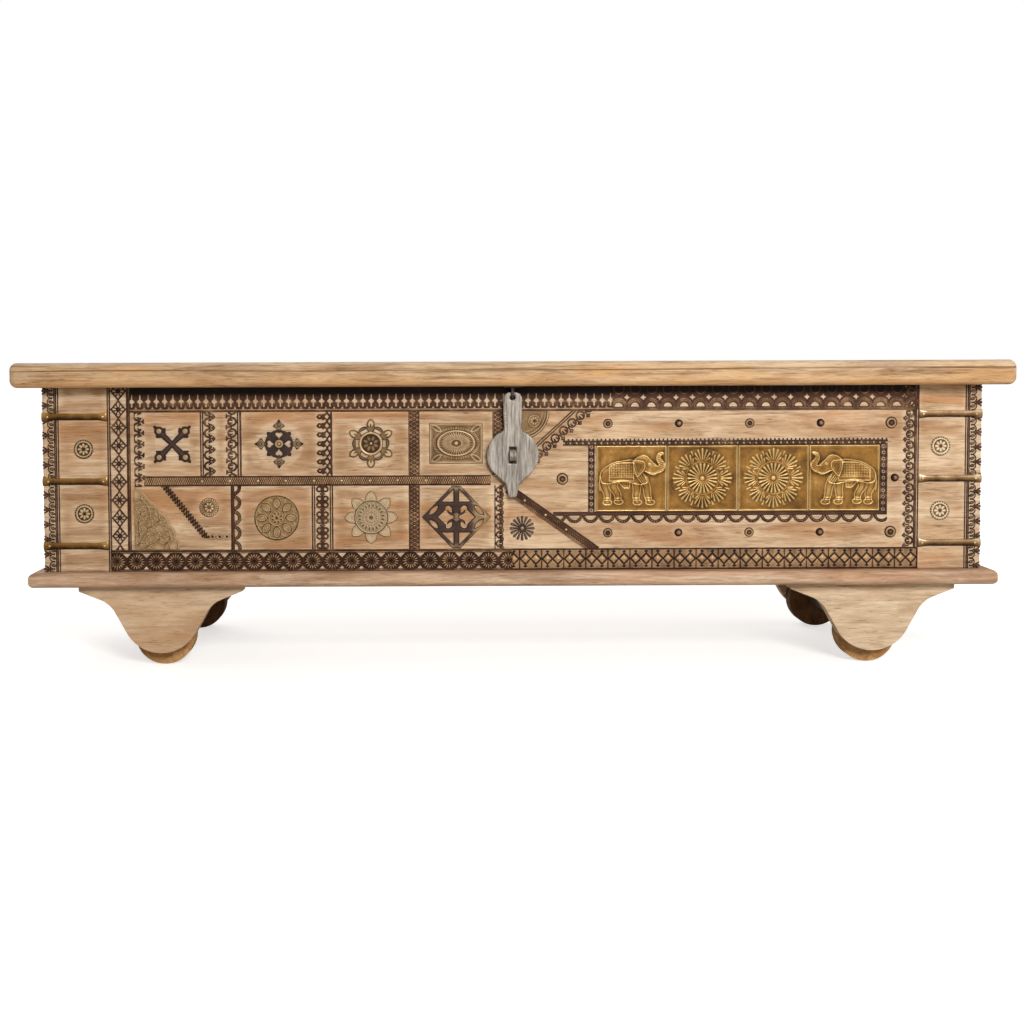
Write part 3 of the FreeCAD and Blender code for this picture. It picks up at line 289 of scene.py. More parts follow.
@dataclass(frozen=True)
class MetalFinish:
    """Stamped sheet whose patina attribute runs from dirt in the recesses to rubbed high lines; some
    pieces also carry painted shade and painted highlights in it.
    """

    name: str
    recess: str
    middle: str
    rubbed: str
    metallic: float
    roughness: float
    blotch: float

    def material(self) -> bpy.types.Material:
        """Makes the metal: patina with blotches, coloured from dirt to bare metal.

        Returns:
            The procedural material.
        """
        shader = Shader(self.name)
        even = shader.place((1.0, 1.0, 1.0))
        blotches = shader.noise(even, 38.0, 5.0, 0.65, 0.5)
        specks = shader.noise(even, 650.0, 2.0, 0.6)
        lift = shader.span(blotches, 0.25, 0.75, -self.blotch, self.blotch)
        tone = shader.maths("ADD", shader.attribute("patina"), lift)
        tone = shader.maths("ADD", tone, shader.span(specks, 0.2, 0.8, -0.1, 0.1))
        colour = shader.mix(shader.span(tone, 0.1, 0.5), paint(self.recess), paint(self.middle))
        colour = shader.mix(shader.span(tone, 0.52, 0.95), colour, paint(self.rubbed))
        return shader.finish(
            Base_Color=colour,
            Metallic=self.metallic,
            Specular_IOR_Level=0.3,
            Roughness=shader.span(tone, 0.1, 0.9, self.roughness + 0.2, self.roughness - 0.12),
            Normal=shader.bump(specks, 0.2, 0.0003),
        )


@dataclass(frozen=True)
class SteelFinish:
    """Bare sheet or wire with streaks along its height and dull stains."""

    name: str
    light: str
    dark: str
    stain: str
    metallic: float
    roughness: float = 0.5

    def material(self) -> bpy.types.Material:
        """Makes the steel: long upright streaks, broad and fine, over cloudy stains.

        Returns:
            The procedural material.
        """
        shader = Shader(self.name)
        drawn_out = shader.place((1.0, 1.0, 0.09))
        fine = shader.noise(drawn_out, 420.0, 3.0, 0.7)
        broad = shader.noise(drawn_out, 130.0, 4.0, 0.6, 0.5)
        clouds = shader.noise(shader.place((1.0, 1.0, 1.0)), 45.0, 5.0, 0.6, 0.4)
        streaks = shader.maths("MULTIPLY", shader.maths("ADD", fine, broad), 0.5)
        colour = shader.mix(shader.span(streaks, 0.36, 0.62), paint(self.dark), paint(self.light))
        colour = shader.mix(shader.span(clouds, 0.5, 0.8, 0.0, 0.55), colour, paint(self.stain))
        return shader.finish(
            Base_Color=colour,
            Metallic=self.metallic,
            Roughness=shader.span(streaks, 0.3, 0.7, self.roughness + 0.15, self.roughness - 0.08),
            Normal=shader.bump(streaks, 0.3, 0.0004),
        )


DARK_BRASS = MetalFinish("dark_stamped_brass", "1c0d05", "4b2c18", "b18d64", 0.28, 0.54, 0.2)
OXIDISED = MetalFinish("oxidised_brass", "2f201b", "503a30", "a98c60", 0.25, 0.5, 0.14)
GOLD = MetalFinish("gold_brass", "4a3011", "91662a", "d2b276", 0.45, 0.48, 0.26)
STRAP = MetalFinish("strap_brass", "2e1b08", "845a26", "c69c56", 0.55, 0.4, 0.25)
PALE_STRAP = MetalFinish("pale_strap_brass", "3a2612", "8a6740", "dcc6a0", 0.45, 0.42, 0.2)
KHAKI = MetalFinish("khaki_brass", "3b2916", "866845", "c6aa82", 0.3, 0.54, 0.18)
WORN_KHAKI = MetalFinish("worn_khaki_brass", "8a6c44", "c2a178", "4a3716", 0.2, 0.58, 0.14)
LIMED_BRASS = MetalFinish("limed_brass", "8a7656", "c8ab88", "5c4a2e", 0.12, 0.62, 0.14)
LEAF_BRASS = MetalFinish("leaf_brass", "8d6f49", "bf9e78", "655029", 0.15, 0.6, 0.16)
PALE_KHAKI = MetalFinish("pale_khaki_brass", "5a442b", "b2936c", "d9c4a2", 0.2, 0.58, 0.14)
NAIL = MetalFinish("nail_brass", "3b2a18", "8d744c", "d6c096", 0.6, 0.4, 0.1)
ZINC = SteelFinish("galvanised_steel", "b9afa3", "585048", "867b6d", 0.55)
# Painted shade: a dark finish for the hasp eye, which hangs in the lid's shadow.
HASP_EYE_SHADE = SteelFinish("hasp_eye_painted_shade", "4a433c", "27221e", "3b3129", 0.4)
HINGE_STEEL = SteelFinish("hinge_steel", "8f8b85", "55514c", "6e5c49", 0.8)

Finish = WoodFinish | MetalFinish | SteelFinish


# Faces, panels and meshes


@dataclass(frozen=True)
class Face:
    """A flat upright face of the trunk: a point on it, its outward direction and its rulings' tilt."""

    origin: Place
    out: Place
    tilt: float = 0.0

    def place(self, across: Array, up: Array, height: Array) -> Array:
        """Gives points in metres: the origin, plus each distance along its own tilted direction.

        Args:
            across: distances along the tilted level line.
            up: distances square to it.
            height: distances out of the face.

        Returns:
            The points, with their coordinates along a last axis.
        """
        out, rise = np.array(self.out), np.array((0.0, 0.0, 1.0))
        level = np.cross(rise, out)
        turn = math.radians(self.tilt)
        along = level * math.cos(turn) + rise * math.sin(turn)
        square = rise * math.cos(turn) - level * math.sin(turn)
        steps = across[..., None] * along + up[..., None] * square + height[..., None] * out
        return (np.array(self.origin) + steps) * MM


@dataclass(frozen=True)
class Panel:
    """A rectangle on a face."""

    left: float
    right: float
    bottom: float
    top: float

    @property
    def width(self) -> float:
        """The size from left to right."""
        return self.right - self.left

    @property
    def height(self) -> float:
        """The size from bottom to top."""
        return self.top - self.bottom

    @property
    def middle(self) -> Point:
        """The point at the centre."""
        return ((self.left + self.right) / 2, (self.bottom + self.top) / 2)

    def grown(self, edge: float) -> "Panel":
        """The same rectangle with an edge added all round."""
        return Panel(self.left - edge, self.right + edge, self.bottom - edge, self.top + edge)


@dataclass
class Shell:
    """Points, faces and patina of a surface that isn't an object yet."""

    points: Array
    faces: list[Array]
    patina: Array


@dataclass(frozen=True)
class Stamp:
    """A drawing's answer at each point: distance inside the metal, height and extra rubbing, which on
    the top border's frets also carries painted shade.
    """

    inside: Array
    height: Array
    rub: Array | float = 0.0


Drawing = Callable[[Array, Array], Stamp]


def front_face() -> Face:
    """The front of the front board."""
    return Face((0.0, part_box("front_board")[0].y / MM, 0.0), (0.0, -1.0, 0.0))


def front_panel(node: str) -> Panel:
    """A node's rectangle as the front shows it."""
    low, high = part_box(node)
    return Panel(low.x / MM, high.x / MM, low.z / MM, high.z / MM)


def islands(node: str) -> list[Panel]:
    """Finds the separate solids of a node, as the front shows them.

    Triangles are sorted along one direction, and a gap between their spans starts a new
    group. The groups are split by height, then by width, and once more by height.

    Args:
        node: name of the node.

    Returns:
        Rectangles, sorted from the top row down and from left to right.
    """
    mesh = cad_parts[node].data
    mesh.calc_loop_triangles()
    spots = np.empty(len(mesh.vertices) * 3)
    mesh.vertices.foreach_get("co", spots)
    corners = np.empty(len(mesh.loop_triangles) * 3, dtype=np.int32)
    mesh.loop_triangles.foreach_get("vertices", corners)
    spots = spots.reshape(-1, 3)[corners.reshape(-1, 3)] / MM
    groups = [spots]
    for axis in (2, 0, 2):
        groups = [part for group in groups for part in split_by_gaps(group, axis)]
    spans = [(group.min((0, 1)), group.max((0, 1))) for group in groups]
    panels = [Panel(low[0], high[0], low[2], high[2]) for low, high in spans]
    return sorted(panels, key=lambda p: (-round(p.middle[1] / ROW_HEIGHT), p.left))


def split_by_gaps(triangles: Array, axis: int, gap: float = 0.2) -> list[Array]:
    """Splits triangles where their spans along an axis leave a gap."""
    low, high = triangles[..., axis].min(1), triangles[..., axis].max(1)
    order = np.argsort(low)
    reach = np.maximum.accumulate(high[order])
    breaks = np.flatnonzero(low[order][1:] > reach[:-1] + gap) + 1
    return [triangles[part] for part in np.split(order, breaks)]


def blurred(values: Array, reach: int) -> Array:
    """Takes the mean of each point's square neighbourhood, twice, so that it falls off gently."""
    result = values
    for axis in (0, 1, 0, 1):
        width = [(0, 0), (0, 0)]
        width[axis] = (reach + 1, reach)
        sums = np.cumsum(np.pad(result, width, mode="edge"), axis=axis)
        count = result.shape[axis]
        upper = np.take(sums, np.arange(count) + 2 * reach + 1, axis=axis)
        lower = np.take(sums, np.arange(count), axis=axis)
        result = (upper - lower) / (2 * reach + 1)
    return result


def stamped(face: Face, panel: Panel, drawing: Drawing, cell: float, thickness: float = 0.9,
            lift: float = 0.0, contrast: float = 0.35) -> Shell:
    """Works out a stamped sheet as a height field on a grid.

    Squares whose mean lies outside the drawing are dropped. Points on the rim slide along
    the slope of the distance onto the outline, and a flat back and a wall round each rim
    close the sheet. Patina is how far a point stands above the mean of the metal around it.

    Args:
        face: the face that carries the sheet.
        panel: the rectangle that the grid covers.
        drawing: gives the stamp at each point.
        cell: size of a grid square.
        thickness: the sheet's own thickness under the relief.
        lift: distance of the sheet's back from the face.
        contrast: relief that takes patina from middling to rubbed.

    Returns:
        The closed sheet.
    """
    columns, rows = (max(3, round(size / cell)) for size in (panel.width, panel.height))
    across = np.linspace(-panel.width / 2, panel.width / 2, columns + 1)
    up = np.linspace(-panel.height / 2, panel.height / 2, rows + 1)
    x, z = np.meshgrid(across, up, indexing="ij")
    stamp = drawing(x, z)
    inside = np.minimum(stamp.inside, slab(x, z, panel.width / 2, panel.height / 2))
    kept = (inside[:-1, :-1] + inside[1:, :-1] + inside[:-1, 1:] + inside[1:, 1:]) > 0
    framed = np.pad(kept, 1)
    used = framed[:-1, :-1].astype(int) + framed[1:, :-1] + framed[:-1, 1:] + framed[1:, 1:]
    slope_x, slope_z = np.gradient(inside, across, up)
    steep = slope_x ** 2 + slope_z ** 2 + LEAST_SLOPE
    step = np.where((used > 0) & (used < 4), -inside / steep, 0.0)
    room = SLIDE_SHARE * cell
    x = np.clip(x + np.clip(step * slope_x, -room, room), across[0], across[-1])
    z = np.clip(z + np.clip(step * slope_z, -room, room), up[0], up[-1])
    height = np.maximum(stamp.height, THINNEST_SHEET - thickness)
    taken = used > 0
    reach = max(2, round(PATINA_REACH / cell))
    share = np.maximum(blurred(taken.astype(float), reach), LEAST_SHARE)
    mean = blurred(height * taken, reach) / share
    patina = 0.5 + 0.5 * (height - mean) / contrast + stamp.rub
    number = np.where(taken, np.cumsum(taken).reshape(taken.shape) - 1, -1)
    total = int(taken.sum())
    flat_x, flat_z = x[taken] + panel.middle[0], z[taken] + panel.middle[1]
    front = face.place(flat_x, flat_z, height[taken] + thickness + lift)
    back = face.place(flat_x, flat_z, np.full(total, lift))
    corners = (number[:-1, :-1], number[1:, :-1], number[1:, 1:], number[:-1, 1:])
    squares = np.stack([c[kept] for c in corners], axis=1)
    neighbours = (framed[1:-1, :-2], framed[2:, 1:-1], framed[1:-1, 2:], framed[:-2, 1:-1])
    walls = [squares]
    for side, beyond in enumerate(neighbours):
        rim = kept & ~beyond
        start, end = corners[side][rim], corners[(side + 1) % 4][rim]
        walls.append(np.stack([end, start, start + total, end + total], axis=1))
    walls.append(squares[:, ::-1] + total)
    tones = np.clip(patina[taken], 0.0, 1.0)
    return Shell(np.concatenate([front, back]), [np.concatenate(walls)], np.tile(tones, 2))


def turned(face: Face, centre: Point, radii: Array, heights: Array, sides: int,
           tones: Array | None = None) -> Shell:
    """Turns a profile about a line that stands out of a face, and closes it at both ends.

    Args:
        face: the face that carries the piece.
        centre: where the line meets the face.
        radii: distances from the line, from the face outwards.
        heights: heights of the same points.
        sides: number of steps round the line.
        tones: patina of the same points, or dark at the face and bright at the top.

    Returns:
        The closed shape.
    """
    turn = np.linspace(0.0, 2 * np.pi, sides, endpoint=False)
    across = centre[0] + radii[:, None] * np.cos(turn)
    up = centre[1] + radii[:, None] * np.sin(turn)
    points = face.place(across, up, np.broadcast_to(heights[:, None], across.shape)).reshape(-1, 3)
    rings = np.arange(len(radii) * sides).reshape(len(radii), sides)
    after = np.roll(rings, -1, axis=1)
    quads = np.stack([rings[:-1], after[:-1], after[1:], rings[1:]], axis=-1).reshape(-1, 4)
    steps = np.linspace(0.2, 1.0, len(radii)) if tones is None else tones
    return Shell(points, [quads, rings[-1][None], rings[0][::-1][None]], np.repeat(steps, sides))


def gathered(shells: Sequence[Shell]) -> Shell:
    """Puts several shells into one, with their point numbers moved on."""
    starts = np.cumsum([0] + [len(s.points) for s in shells[:-1]])
    faces = [f + start for s, start in zip(shells, starts) for f in s.faces]
    points, patina = (np.concatenate(parts) for parts in zip(*[(s.points, s.patina) for s in shells]))
    return Shell(points, faces, patina)


def make_object(name: str, shell: Shell, finish: bpy.types.Material,
                label: str = "patina") -> bpy.types.Object:
    """Writes a shell into a smooth mesh object that holds its patina as an attribute.

    Args:
        name: the object's name.
        shell: points, faces and patina.
        finish: the material.
        label: the attribute's name.

    Returns:
        The object, at the origin.
    """
    mesh = bpy.data.meshes.new(name)
    mesh.vertices.add(len(shell.points))
    mesh.vertices.foreach_set("co", shell.points.astype(np.float32).ravel())
    sizes = np.concatenate([np.full(len(f), f.shape[1]) for f in shell.faces])
    loops = np.concatenate([f.ravel() for f in shell.faces]).astype(np.int32)
    mesh.loops.add(len(loops))
    mesh.loops.foreach_set("vertex_index", loops)
    mesh.polygons.add(len(sizes))
    mesh.polygons.foreach_set("loop_start", (np.cumsum(sizes) - sizes).astype(np.int32))
    mesh.polygons.foreach_set("use_smooth", np.ones(len(sizes), dtype=bool))
    mesh.update(calc_edges=True)
    tones = mesh.attributes.new(label, "FLOAT", "POINT")
    tones.data.foreach_set("value", shell.patina.astype(np.float32))
    mesh.materials.append(finish)
    piece = bpy.data.objects.new(name, mesh)
    bpy.context.scene.collection.objects.link(piece)
    return piece


class Workshop:
    """Keeps one material for each finish, and sets pieces on their bodies."""

    def __init__(self) -> None:
        """Starts with no materials made."""
        self.made: dict[Finish, bpy.types.Material] = {}

    def material(self, finish: Finish) -> bpy.types.Material:
        """Gives a finish's material, and makes it once."""
        if finish not in self.made:
            self.made[finish] = finish.material()
        return self.made[finish]

    def fit(self, name: str, shells: Sequence[Shell], finish: Finish, slot: str,
            nodes: Sequence[str] = (), body: str = "carcass", label: str = "patina") -> None:
        """Makes a piece from shells, sets it on its body and hides the nodes that it stands for.

        Args:
            name: the piece's name.
            shells: its surfaces.
            finish: its finish.
            slot: the record's material slot, which is not used.
            nodes: frame nodes that the piece replaces.
            body: the body that it rides on.
            label: the name of its point attribute.
        """
        piece = make_object(name, gathered(shells), self.material(finish), label)
        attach(piece, body)
        if nodes:
            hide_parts(*nodes)
        LOG.info("%s: %d faces on %s", name, len(piece.data.polygons), body)

    def dress(self, node: str, finish: Finish) -> None:
        """Gives a frame node its finish."""
        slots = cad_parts[node].data.materials
        slots.clear()
        slots.append(self.material(finish))
        LOG.info("%s: dressed with %s", node, finish.name)


# Drawing tools: each gives a distance that is positive inside its shape


def disc(x: Array, z: Array, radius: float) -> Array:
    """A round: the radius less the distance from the centre."""
    return radius - np.hypot(x, z)


def ring(x: Array, z: Array, radius: float, width: float) -> Array:
    """A hoop: half its width less the distance from its middle circle."""
    return width / 2 - np.abs(np.hypot(x, z) - radius)


def slab(x: Array, z: Array, half_x: float, half_z: float) -> Array:
    """A rectangle: the smaller of the distances to its sides."""
    return np.minimum(half_x - np.abs(x), half_z - np.abs(z))


def lozenge(x: Array, z: Array, half_x: float, half_z: float) -> Array:
    """A diamond: one less the shares of its two half sizes, made into a distance."""
    return (1 - np.abs(x) / half_x - np.abs(z) / half_z) * half_x * half_z / math.hypot(half_x, half_z)


def oval(x: Array, z: Array, half_x: float, half_z: float) -> Array:
    """An ellipse: one less the scaled distance from the centre, times its smaller half size."""
    return (1 - np.hypot(x / half_x, z / half_z)) * min(half_x, half_z)


def bar(x: Array, z: Array, start: Point, end: Point, width: float,
        tip_width: float | None = None) -> Array:
    """A round-ended bar, which may taper: its half width less the distance from its middle line."""
    run = np.array(end) - np.array(start)
    share = ((x - start[0]) * run[0] + (z - start[1]) * run[1]) / max(float(run @ run), 1e-9)
    share = np.clip(share, 0.0, 1.0)
    tip = width if tip_width is None else tip_width
    half = (width + (tip - width) * share) / 2
    return half - np.hypot(x - start[0] - share * run[0], z - start[1] - share * run[1])


def leaf(x: Array, z: Array, length: float, width: float) -> Array:
    """A pointed leaf from the origin along x: where two equal circles overlap."""
    half, bulge = length / 2, width / 2
    radius = (half * half + bulge * bulge) / (2 * bulge)
    return radius - np.hypot(x - half, np.abs(z) + radius - bulge)


def star(x: Array, z: Array, reach: float) -> Array:
    """A four-pointed star: what four circles on the corners of a square leave over."""
    hollow = np.hypot(np.abs(x) - reach, np.abs(z) - reach) - 0.96 * reach
    return np.minimum(hollow, reach - np.maximum(np.abs(x), np.abs(z)))


def spun(x: Array, z: Array, degrees: float, about: Point = (0.0, 0.0)) -> tuple[Array, Array]:
    """Coordinates in a frame that is moved to a point and turned."""
    turn = math.radians(degrees)
    x, z = x - about[0], z - about[1]
    return x * math.cos(turn) + z * math.sin(turn), z * math.cos(turn) - x * math.sin(turn)


def folded(x: Array, z: Array, count: int, degrees: float = 0.0) -> tuple[Array, Array]:
    """Folds the plane into equal sectors: distances along and across the nearest middle line."""
    sector = 2 * math.pi / count
    angle = np.arctan2(z, x) - math.radians(degrees)
    angle = np.mod(angle + sector / 2, sector) - sector / 2
    radius = np.hypot(x, z)
    return radius * np.cos(angle), radius * np.sin(angle)


def repeated(x: Array, pitch: float, shift: float = 0.0) -> Array:
    """Folds a line into equal pitches: the distance from the middle of the nearest one."""
    return np.mod(x - shift + pitch / 2, pitch) - pitch / 2


def joined(*shapes: Array) -> Array:
    """Everything that lies in any of the shapes."""
    return np.maximum.reduce(shapes)


def raised(shape: Array, shoulder: float, rise: float) -> Array:
    """A plateau over a shape, with a soft shoulder of the given width."""
    share = np.clip(shape / shoulder, 0.0, 1.0)
    return rise * share * share * (3 - 2 * share)


def line(distance: Array, width: float, rise: float) -> Array:
    """A rounded bead along the places where a distance is nothing."""
    return rise * np.exp(-((distance / (width / 2)) ** 2))


def curve(points: Sequence[Point], steps: int = 6) -> Array:
    """A smooth line through points: between two of them, the cubic that their neighbours slope."""
    spots = np.array([points[0], *points, points[-1]], dtype=float)
    share = np.linspace(0.0, 1.0, steps, endpoint=False)[:, None]
    before, start, end, after = spots[:-3], spots[1:-2], spots[2:-1], spots[3:]
    pieces = [
        0.5 * (2 * b + (c - a) * share + (2 * a - 5 * b + 4 * c - d) * share ** 2
               + (3 * b - a - 3 * c + d) * share ** 3)
        for a, b, c, d in zip(before, start, end, after)
    ]
    return np.concatenate([*pieces, spots[-1:]])


def tube(x: Array, z: Array, points: Sequence[Point], width: float, tip_width: float) -> Array:
    """A tapering band along a smooth line: the best of its short straight bars."""
    spots = curve(points)
    widths = np.linspace(width, tip_width, len(spots))
    steps = zip(spots, spots[1:], widths, widths[1:])
    return joined(*[bar(x, z, tuple(a), tuple(b), w, v) for a, b, w, v in steps])


def outlined(x: Array, z: Array, points: Sequence[Point]) -> Array:
    """A closed smooth outline through points, as a distance to it."""
    return cornered(x, z, curve([*points, points[0]]))


def cornered(x: Array, z: Array, spots: Sequence[Point] | Array) -> Array:
    """A closed outline with straight sides, as a distance to them that is positive inside."""
    starts = np.array(spots, dtype=float)
    away = np.full(x.shape, 1e9)
    odd = np.zeros(x.shape, dtype=bool)
    for (ax, az), (bx, bz) in zip(starts, np.roll(starts, -1, axis=0)):
        away = np.minimum(away, -bar(x, z, (ax, az), (bx, bz), 0.0))
        crosses = (az > z) != (bz > z)
        odd ^= crosses & (x < (bx - ax) * (z - az) / (bz - az + 1e-12) + ax)
    return np.where(odd, away, -away)


def tooth(x: Array, rise: Array, half: float, height: float) -> Array:
    """A triangle that stands on a line: the smaller of its rise and the room to its slanting sides."""
    return np.minimum(rise, half * (1 - rise / height) - np.abs(x))


def solid(x: Array) -> Array:
    """Metal everywhere, so that only the panel's edges bound the sheet."""
    return np.full(x.shape, 99.0)


def pierced(metal: Array, shoulder: float = 1.2, rise: float = 0.8, rub: float = -0.12) -> Stamp:
    """A cut-out pattern, rounded over its edges and a little dark."""
    return Stamp(metal, raised(metal, shoulder, rise), rub)


# Drawings of the borders and strips: along runs with the strip and across it


def twin_lines(across: Array, first: float, second: float) -> Array:
    """Two raised lines along a strip."""
    return line(across - first, 1.6, 0.6) + line(across - second, 1.6, 0.6)


def rails(across: Array, *lines: Point) -> Array:
    """Bars along a strip, each with its place and its half width."""
    return joined(*[half - np.abs(across - place) for place, half in lines])


def in_row(along: Array, pitch: float) -> tuple[Array, Array]:
    """Distances from the nearest figure of a row, and from the nearest middle between two."""
    return repeated(along, pitch), repeated(along, pitch, pitch / 2)


def pendant_fret(along: Array, across: Array, pitch: float = 12.5) -> Stamp:
    """A fret of pendants: pointed body, neck and foot cut out, with a small tooth between.

    Args:
        along: distance along it.
        across: distance up from its middle.
        pitch: distance between pendants.

    Returns:
        The stamp, with painted shade towards the lid.
    """
    here, between = in_row(along, pitch)
    body = joined(lozenge(here, across + 0.3, 4.8, 4.5), disc(here, across + 0.3, 3.2))
    neck = bar(here, across, (0, 2), (0, 9.6), 2, 1.3)
    stem = bar(here, across, (0, -2), (0, -7.6), 1.7, 2.8)
    holes = joined(body, neck, stem, tooth(between, across + 11.6, 2.1, 3.6))
    arches = line(np.hypot(between, across + 5) - 3.1, 1.4, 0.5)
    drops = raised(disc(between, across + 5, 1.6), 1.2, 0.7)
    height = line(holes + 0.9, 1.4, 0.3) + arches + drops + twin_lines(across, -12.9, -15.6)
    # Painted shade: the fret darkens towards the lid, standing in for the lid's shadow.
    darkening = 0.4 * np.clip((across - 5) / 6, 0, 1)
    return Stamp(-holes, height, -0.05 + 0.25 * (np.abs(across + 12.9) < 0.8) - darkening)


def fan_fret(along: Array, across: Array, pitch: float = 24.8) -> Stamp:
    """A fret of beaded fans over half-round openings, with four-pointed stars between.

    Args:
        along: distance along it.
        across: distance up from its middle.
        pitch: distance between fans.

    Returns:
        The stamp, with painted shade towards the lid.
    """
    here, between = in_row(along, pitch)
    base = across + 10.6
    radius, angle = np.hypot(here, base), np.arctan2(base, here)
    holes = joined(np.minimum(disc(here, base, 6.3), base), star(between, across - 3.6, 5.8))
    beads = line(radius - 9.4, 3.2, 0.9) * (0.55 + 0.45 * np.cos(angle * 22)) * (base > -0.5)
    arches = line(np.hypot(here, across - 16.5) - 7.6, 2, 0.7)
    hoops = (line(radius - 7.2, 1.3, 0.4) + line(radius - 12, 1.5, 0.5)) * (base > 0)
    height = beads + arches + hoops + twin_lines(across, -15.4, -12.9)
    # Painted shade: the fret darkens towards the lid, standing in for the lid's shadow.
    return Stamp(-holes, height, -0.4 * np.clip((across - 7) / 6, 0, 1))


def edge_rail(_along: Array, across: Array) -> Stamp:
    """The double edge of a border, where it runs on past the rest."""
    return pierced(rails(across, (-1.4, 0.9), (1.6, 0.95)), 1.1, 0.7)


def diamond_fret(along: Array, across: Array, pitch: float = 27.5) -> Stamp:
    """A column of diamonds between double edges, with eight spokes and a boss in each.

    Args:
        along: distance along it.
        across: distance from its middle.
        pitch: length of a diamond.

    Returns:
        The stamp.
    """
    here = repeated(along, pitch)
    outline = lozenge(here, across, pitch / 2 + 0.6, 11.9)
    band = 1.15 - np.abs(outline - 0.9)
    out, side = folded(here, across, 8, 22.5)
    spokes = np.minimum(bar(out, side, (0, 0), (13, 0), 1.5), outline)
    boss = disc(here, across, 3.3)
    edges = rails(across, (-16.3, 0.9), (-13.3, 0.95), (12.9, 0.95), (15.8, 1.9))
    metal = joined(band, spokes, boss, edges)
    height = raised(metal, 1.1, 0.7) - line(np.hypot(here, across) - 2.3, 1, 0.4)
    return Stamp(metal, height, -0.12 - 0.2 * (boss > 0))


@dataclass(frozen=True)
class CrescentRow:
    """A strip of hoops, with hooks inside them, pointed buds between them and lines along its far edge.

    Hoops with a gap open towards positive across, and the buds stand on that side. Each
    line has its distance from the middle and its half width.
    """

    pitch: float
    radius: float
    band: float
    hoop: float
    bud: float
    lines: tuple[Point, ...] = ()
    gap: float = 0

    def draw(self, along: Array, across: Array) -> Stamp:
        """Draws the strip.

        Args:
            along: distance along it.
            across: distance from its middle.

        Returns:
            The stamp.
        """
        here, between = in_row(along, self.pitch)
        side = across - self.hoop
        hoop = ring(here, side, self.radius, self.band)
        if self.gap:
            hoop = np.minimum(hoop, 0.7 * (np.abs(here) * self.gap - side))
        bud = joined(
            lozenge(between, across - self.bud, 3.5, 3.7),
            disc(np.abs(between) - 2.4, across - self.bud + 0.2, 1.3),
            bar(between, across, (0, self.hoop + 1), (0, self.bud), 1.7),
        )
        shares = ((0.72, 0.6), (0.36, 0.1)) if self.gap else ((0.42, 0.9), (0.36, 0))
        start, end = ((self.radius * a, self.radius * b) for a, b in shares)
        hooks = bar(np.abs(here), side, start, end, 1.5, 2)
        edges = [rails(across, spot) for spot in self.lines]
        return pierced(joined(hoop, bud, hooks, *edges), 1.1, 0.8, -0.1)


def scallops(along: Array, across: Array, pitch: float, radius: float, base: float,
             band: float = 4.4) -> Stamp:
    """Beaded half hoops that hang from a plain line.

    Args:
        along: distance along it.
        across: distance from its middle, towards the hoops.
        pitch: distance between hoops.
        radius: middle radius of a hoop.
        base: where the line ends and the hoops begin.
        band: width of a hoop.

    Returns:
        The stamp.
    """
    here = repeated(along, pitch)
    below = across - base
    hoop = np.minimum(ring(here, below, radius, band), below + 1)
    edge = base + 1.2 - across
    beads = 0.5 + 0.5 * np.cos(np.arctan2(below, here) * 18)
    height = raised(hoop, 1.6, 0.4) + raised(hoop, 1.2, 0.7) * beads * (below > 1)
    return Stamp(joined(hoop, edge), height + line(edge - 2, 1.4, 0.5), -0.12)


def punched(along: Array, across: Array, half: float = 7.6, pitch: float = 3.4) -> Stamp:
    """A plain strip with two plain edges, covered with punched dots in a diamond grid."""
    dots = np.cos(2 * np.pi * along / pitch) * np.cos(np.pi * across / pitch)
    inner = raised(half - 1.7 - np.abs(across), 0.8, 1)
    height = inner * (0.35 + 0.4 * dots) + raised(np.abs(across) - half + 1.1, 0.8, 0.35)
    return Stamp(solid(along), height, 0.12 * (np.abs(across) < half - 2))


def nailed_band(along: Array, across: Array, half: float = 7.5) -> Stamp:
    """A dotted dark strip with a double brass line along its lower edge."""
    stamp = punched(along, across, half)
    lines = rails(across + half, (0.9, 0.7), (3.2, 0.6)) > 0
    return Stamp(stamp.inside, stamp.height, -0.1 + 0.4 * lines)


def daisy_border(along: Array, across: Array, pitch: float = 29.74, rays: int = 16) -> Stamp:
    """Daisies with thin raised rays, and cut-out triangles above and below between them.

    Args:
        along: distance along it.
        across: distance up from its middle.
        pitch: distance between daisies.
        rays: number of rays.

    Returns:
        The stamp.
    """
    here, between = in_row(along, pitch)
    centre = across + 1.6
    holes = joined(tooth(between, 11.2 - across, 6.8, 7), tooth(between, across + 13.2, 4.6, 5))
    out, side = folded(here, centre, rays)
    petals = raised(leaf(out - 4.2, side, 9.2, 2.4), 0.9, 0.9)
    pip = line(np.hypot(here, centre) - 3.8, 1.2, 0.3) - raised(disc(here, centre, 3), 1.2, 0.7)
    rims = line(holes + 1, 1.4, 0.3) + line(across + 15.2, 1.5, 0.4)
    return Stamp(-holes, petals + pip + rims + twin_lines(across, 12.6, 15.7), -0.12)


def lattice_border(along: Array, across: Array, tile: float = 33.6) -> Stamp:
    """Tiles of two sunken diamonds, each with a bright boss and dark marks above and below.

    Args:
        along: distance along it.
        across: distance up from its middle.
        tile: length of a tile.

    Returns:
        The stamp.
    """
    here, level = np.abs(repeated(along, tile)) - 0.235 * tile, across - 0.4
    cells = lozenge(here, level, 7.8, 8.2)
    boss = lozenge(here, level, 3.8, 4)
    marks = lozenge(here, np.abs(level) - 11.2, 3.4, 2.3)
    edges = np.minimum(np.abs(repeated(along, tile, tile / 2)), 15 - np.abs(across))
    specks = 0.2 * np.cos(2.4 * along) * np.cos(2.4 * across)
    sunk = line(cells, 1.9, 0.8) + raised(marks, 1, 0.6) + line(edges, 1.5, 0.5)
    dark = 0.45 * (np.abs(cells) < 0.8) + 0.35 * (marks > 0) + 0.2 * (edges < 0.7)
    rub = 0.12 + 0.26 * (boss > 0) + 0.1 * (cells > 1.4) - dark
    return Stamp(solid(along), raised(boss, 1.8, 0.8) - sunk + specks, rub)


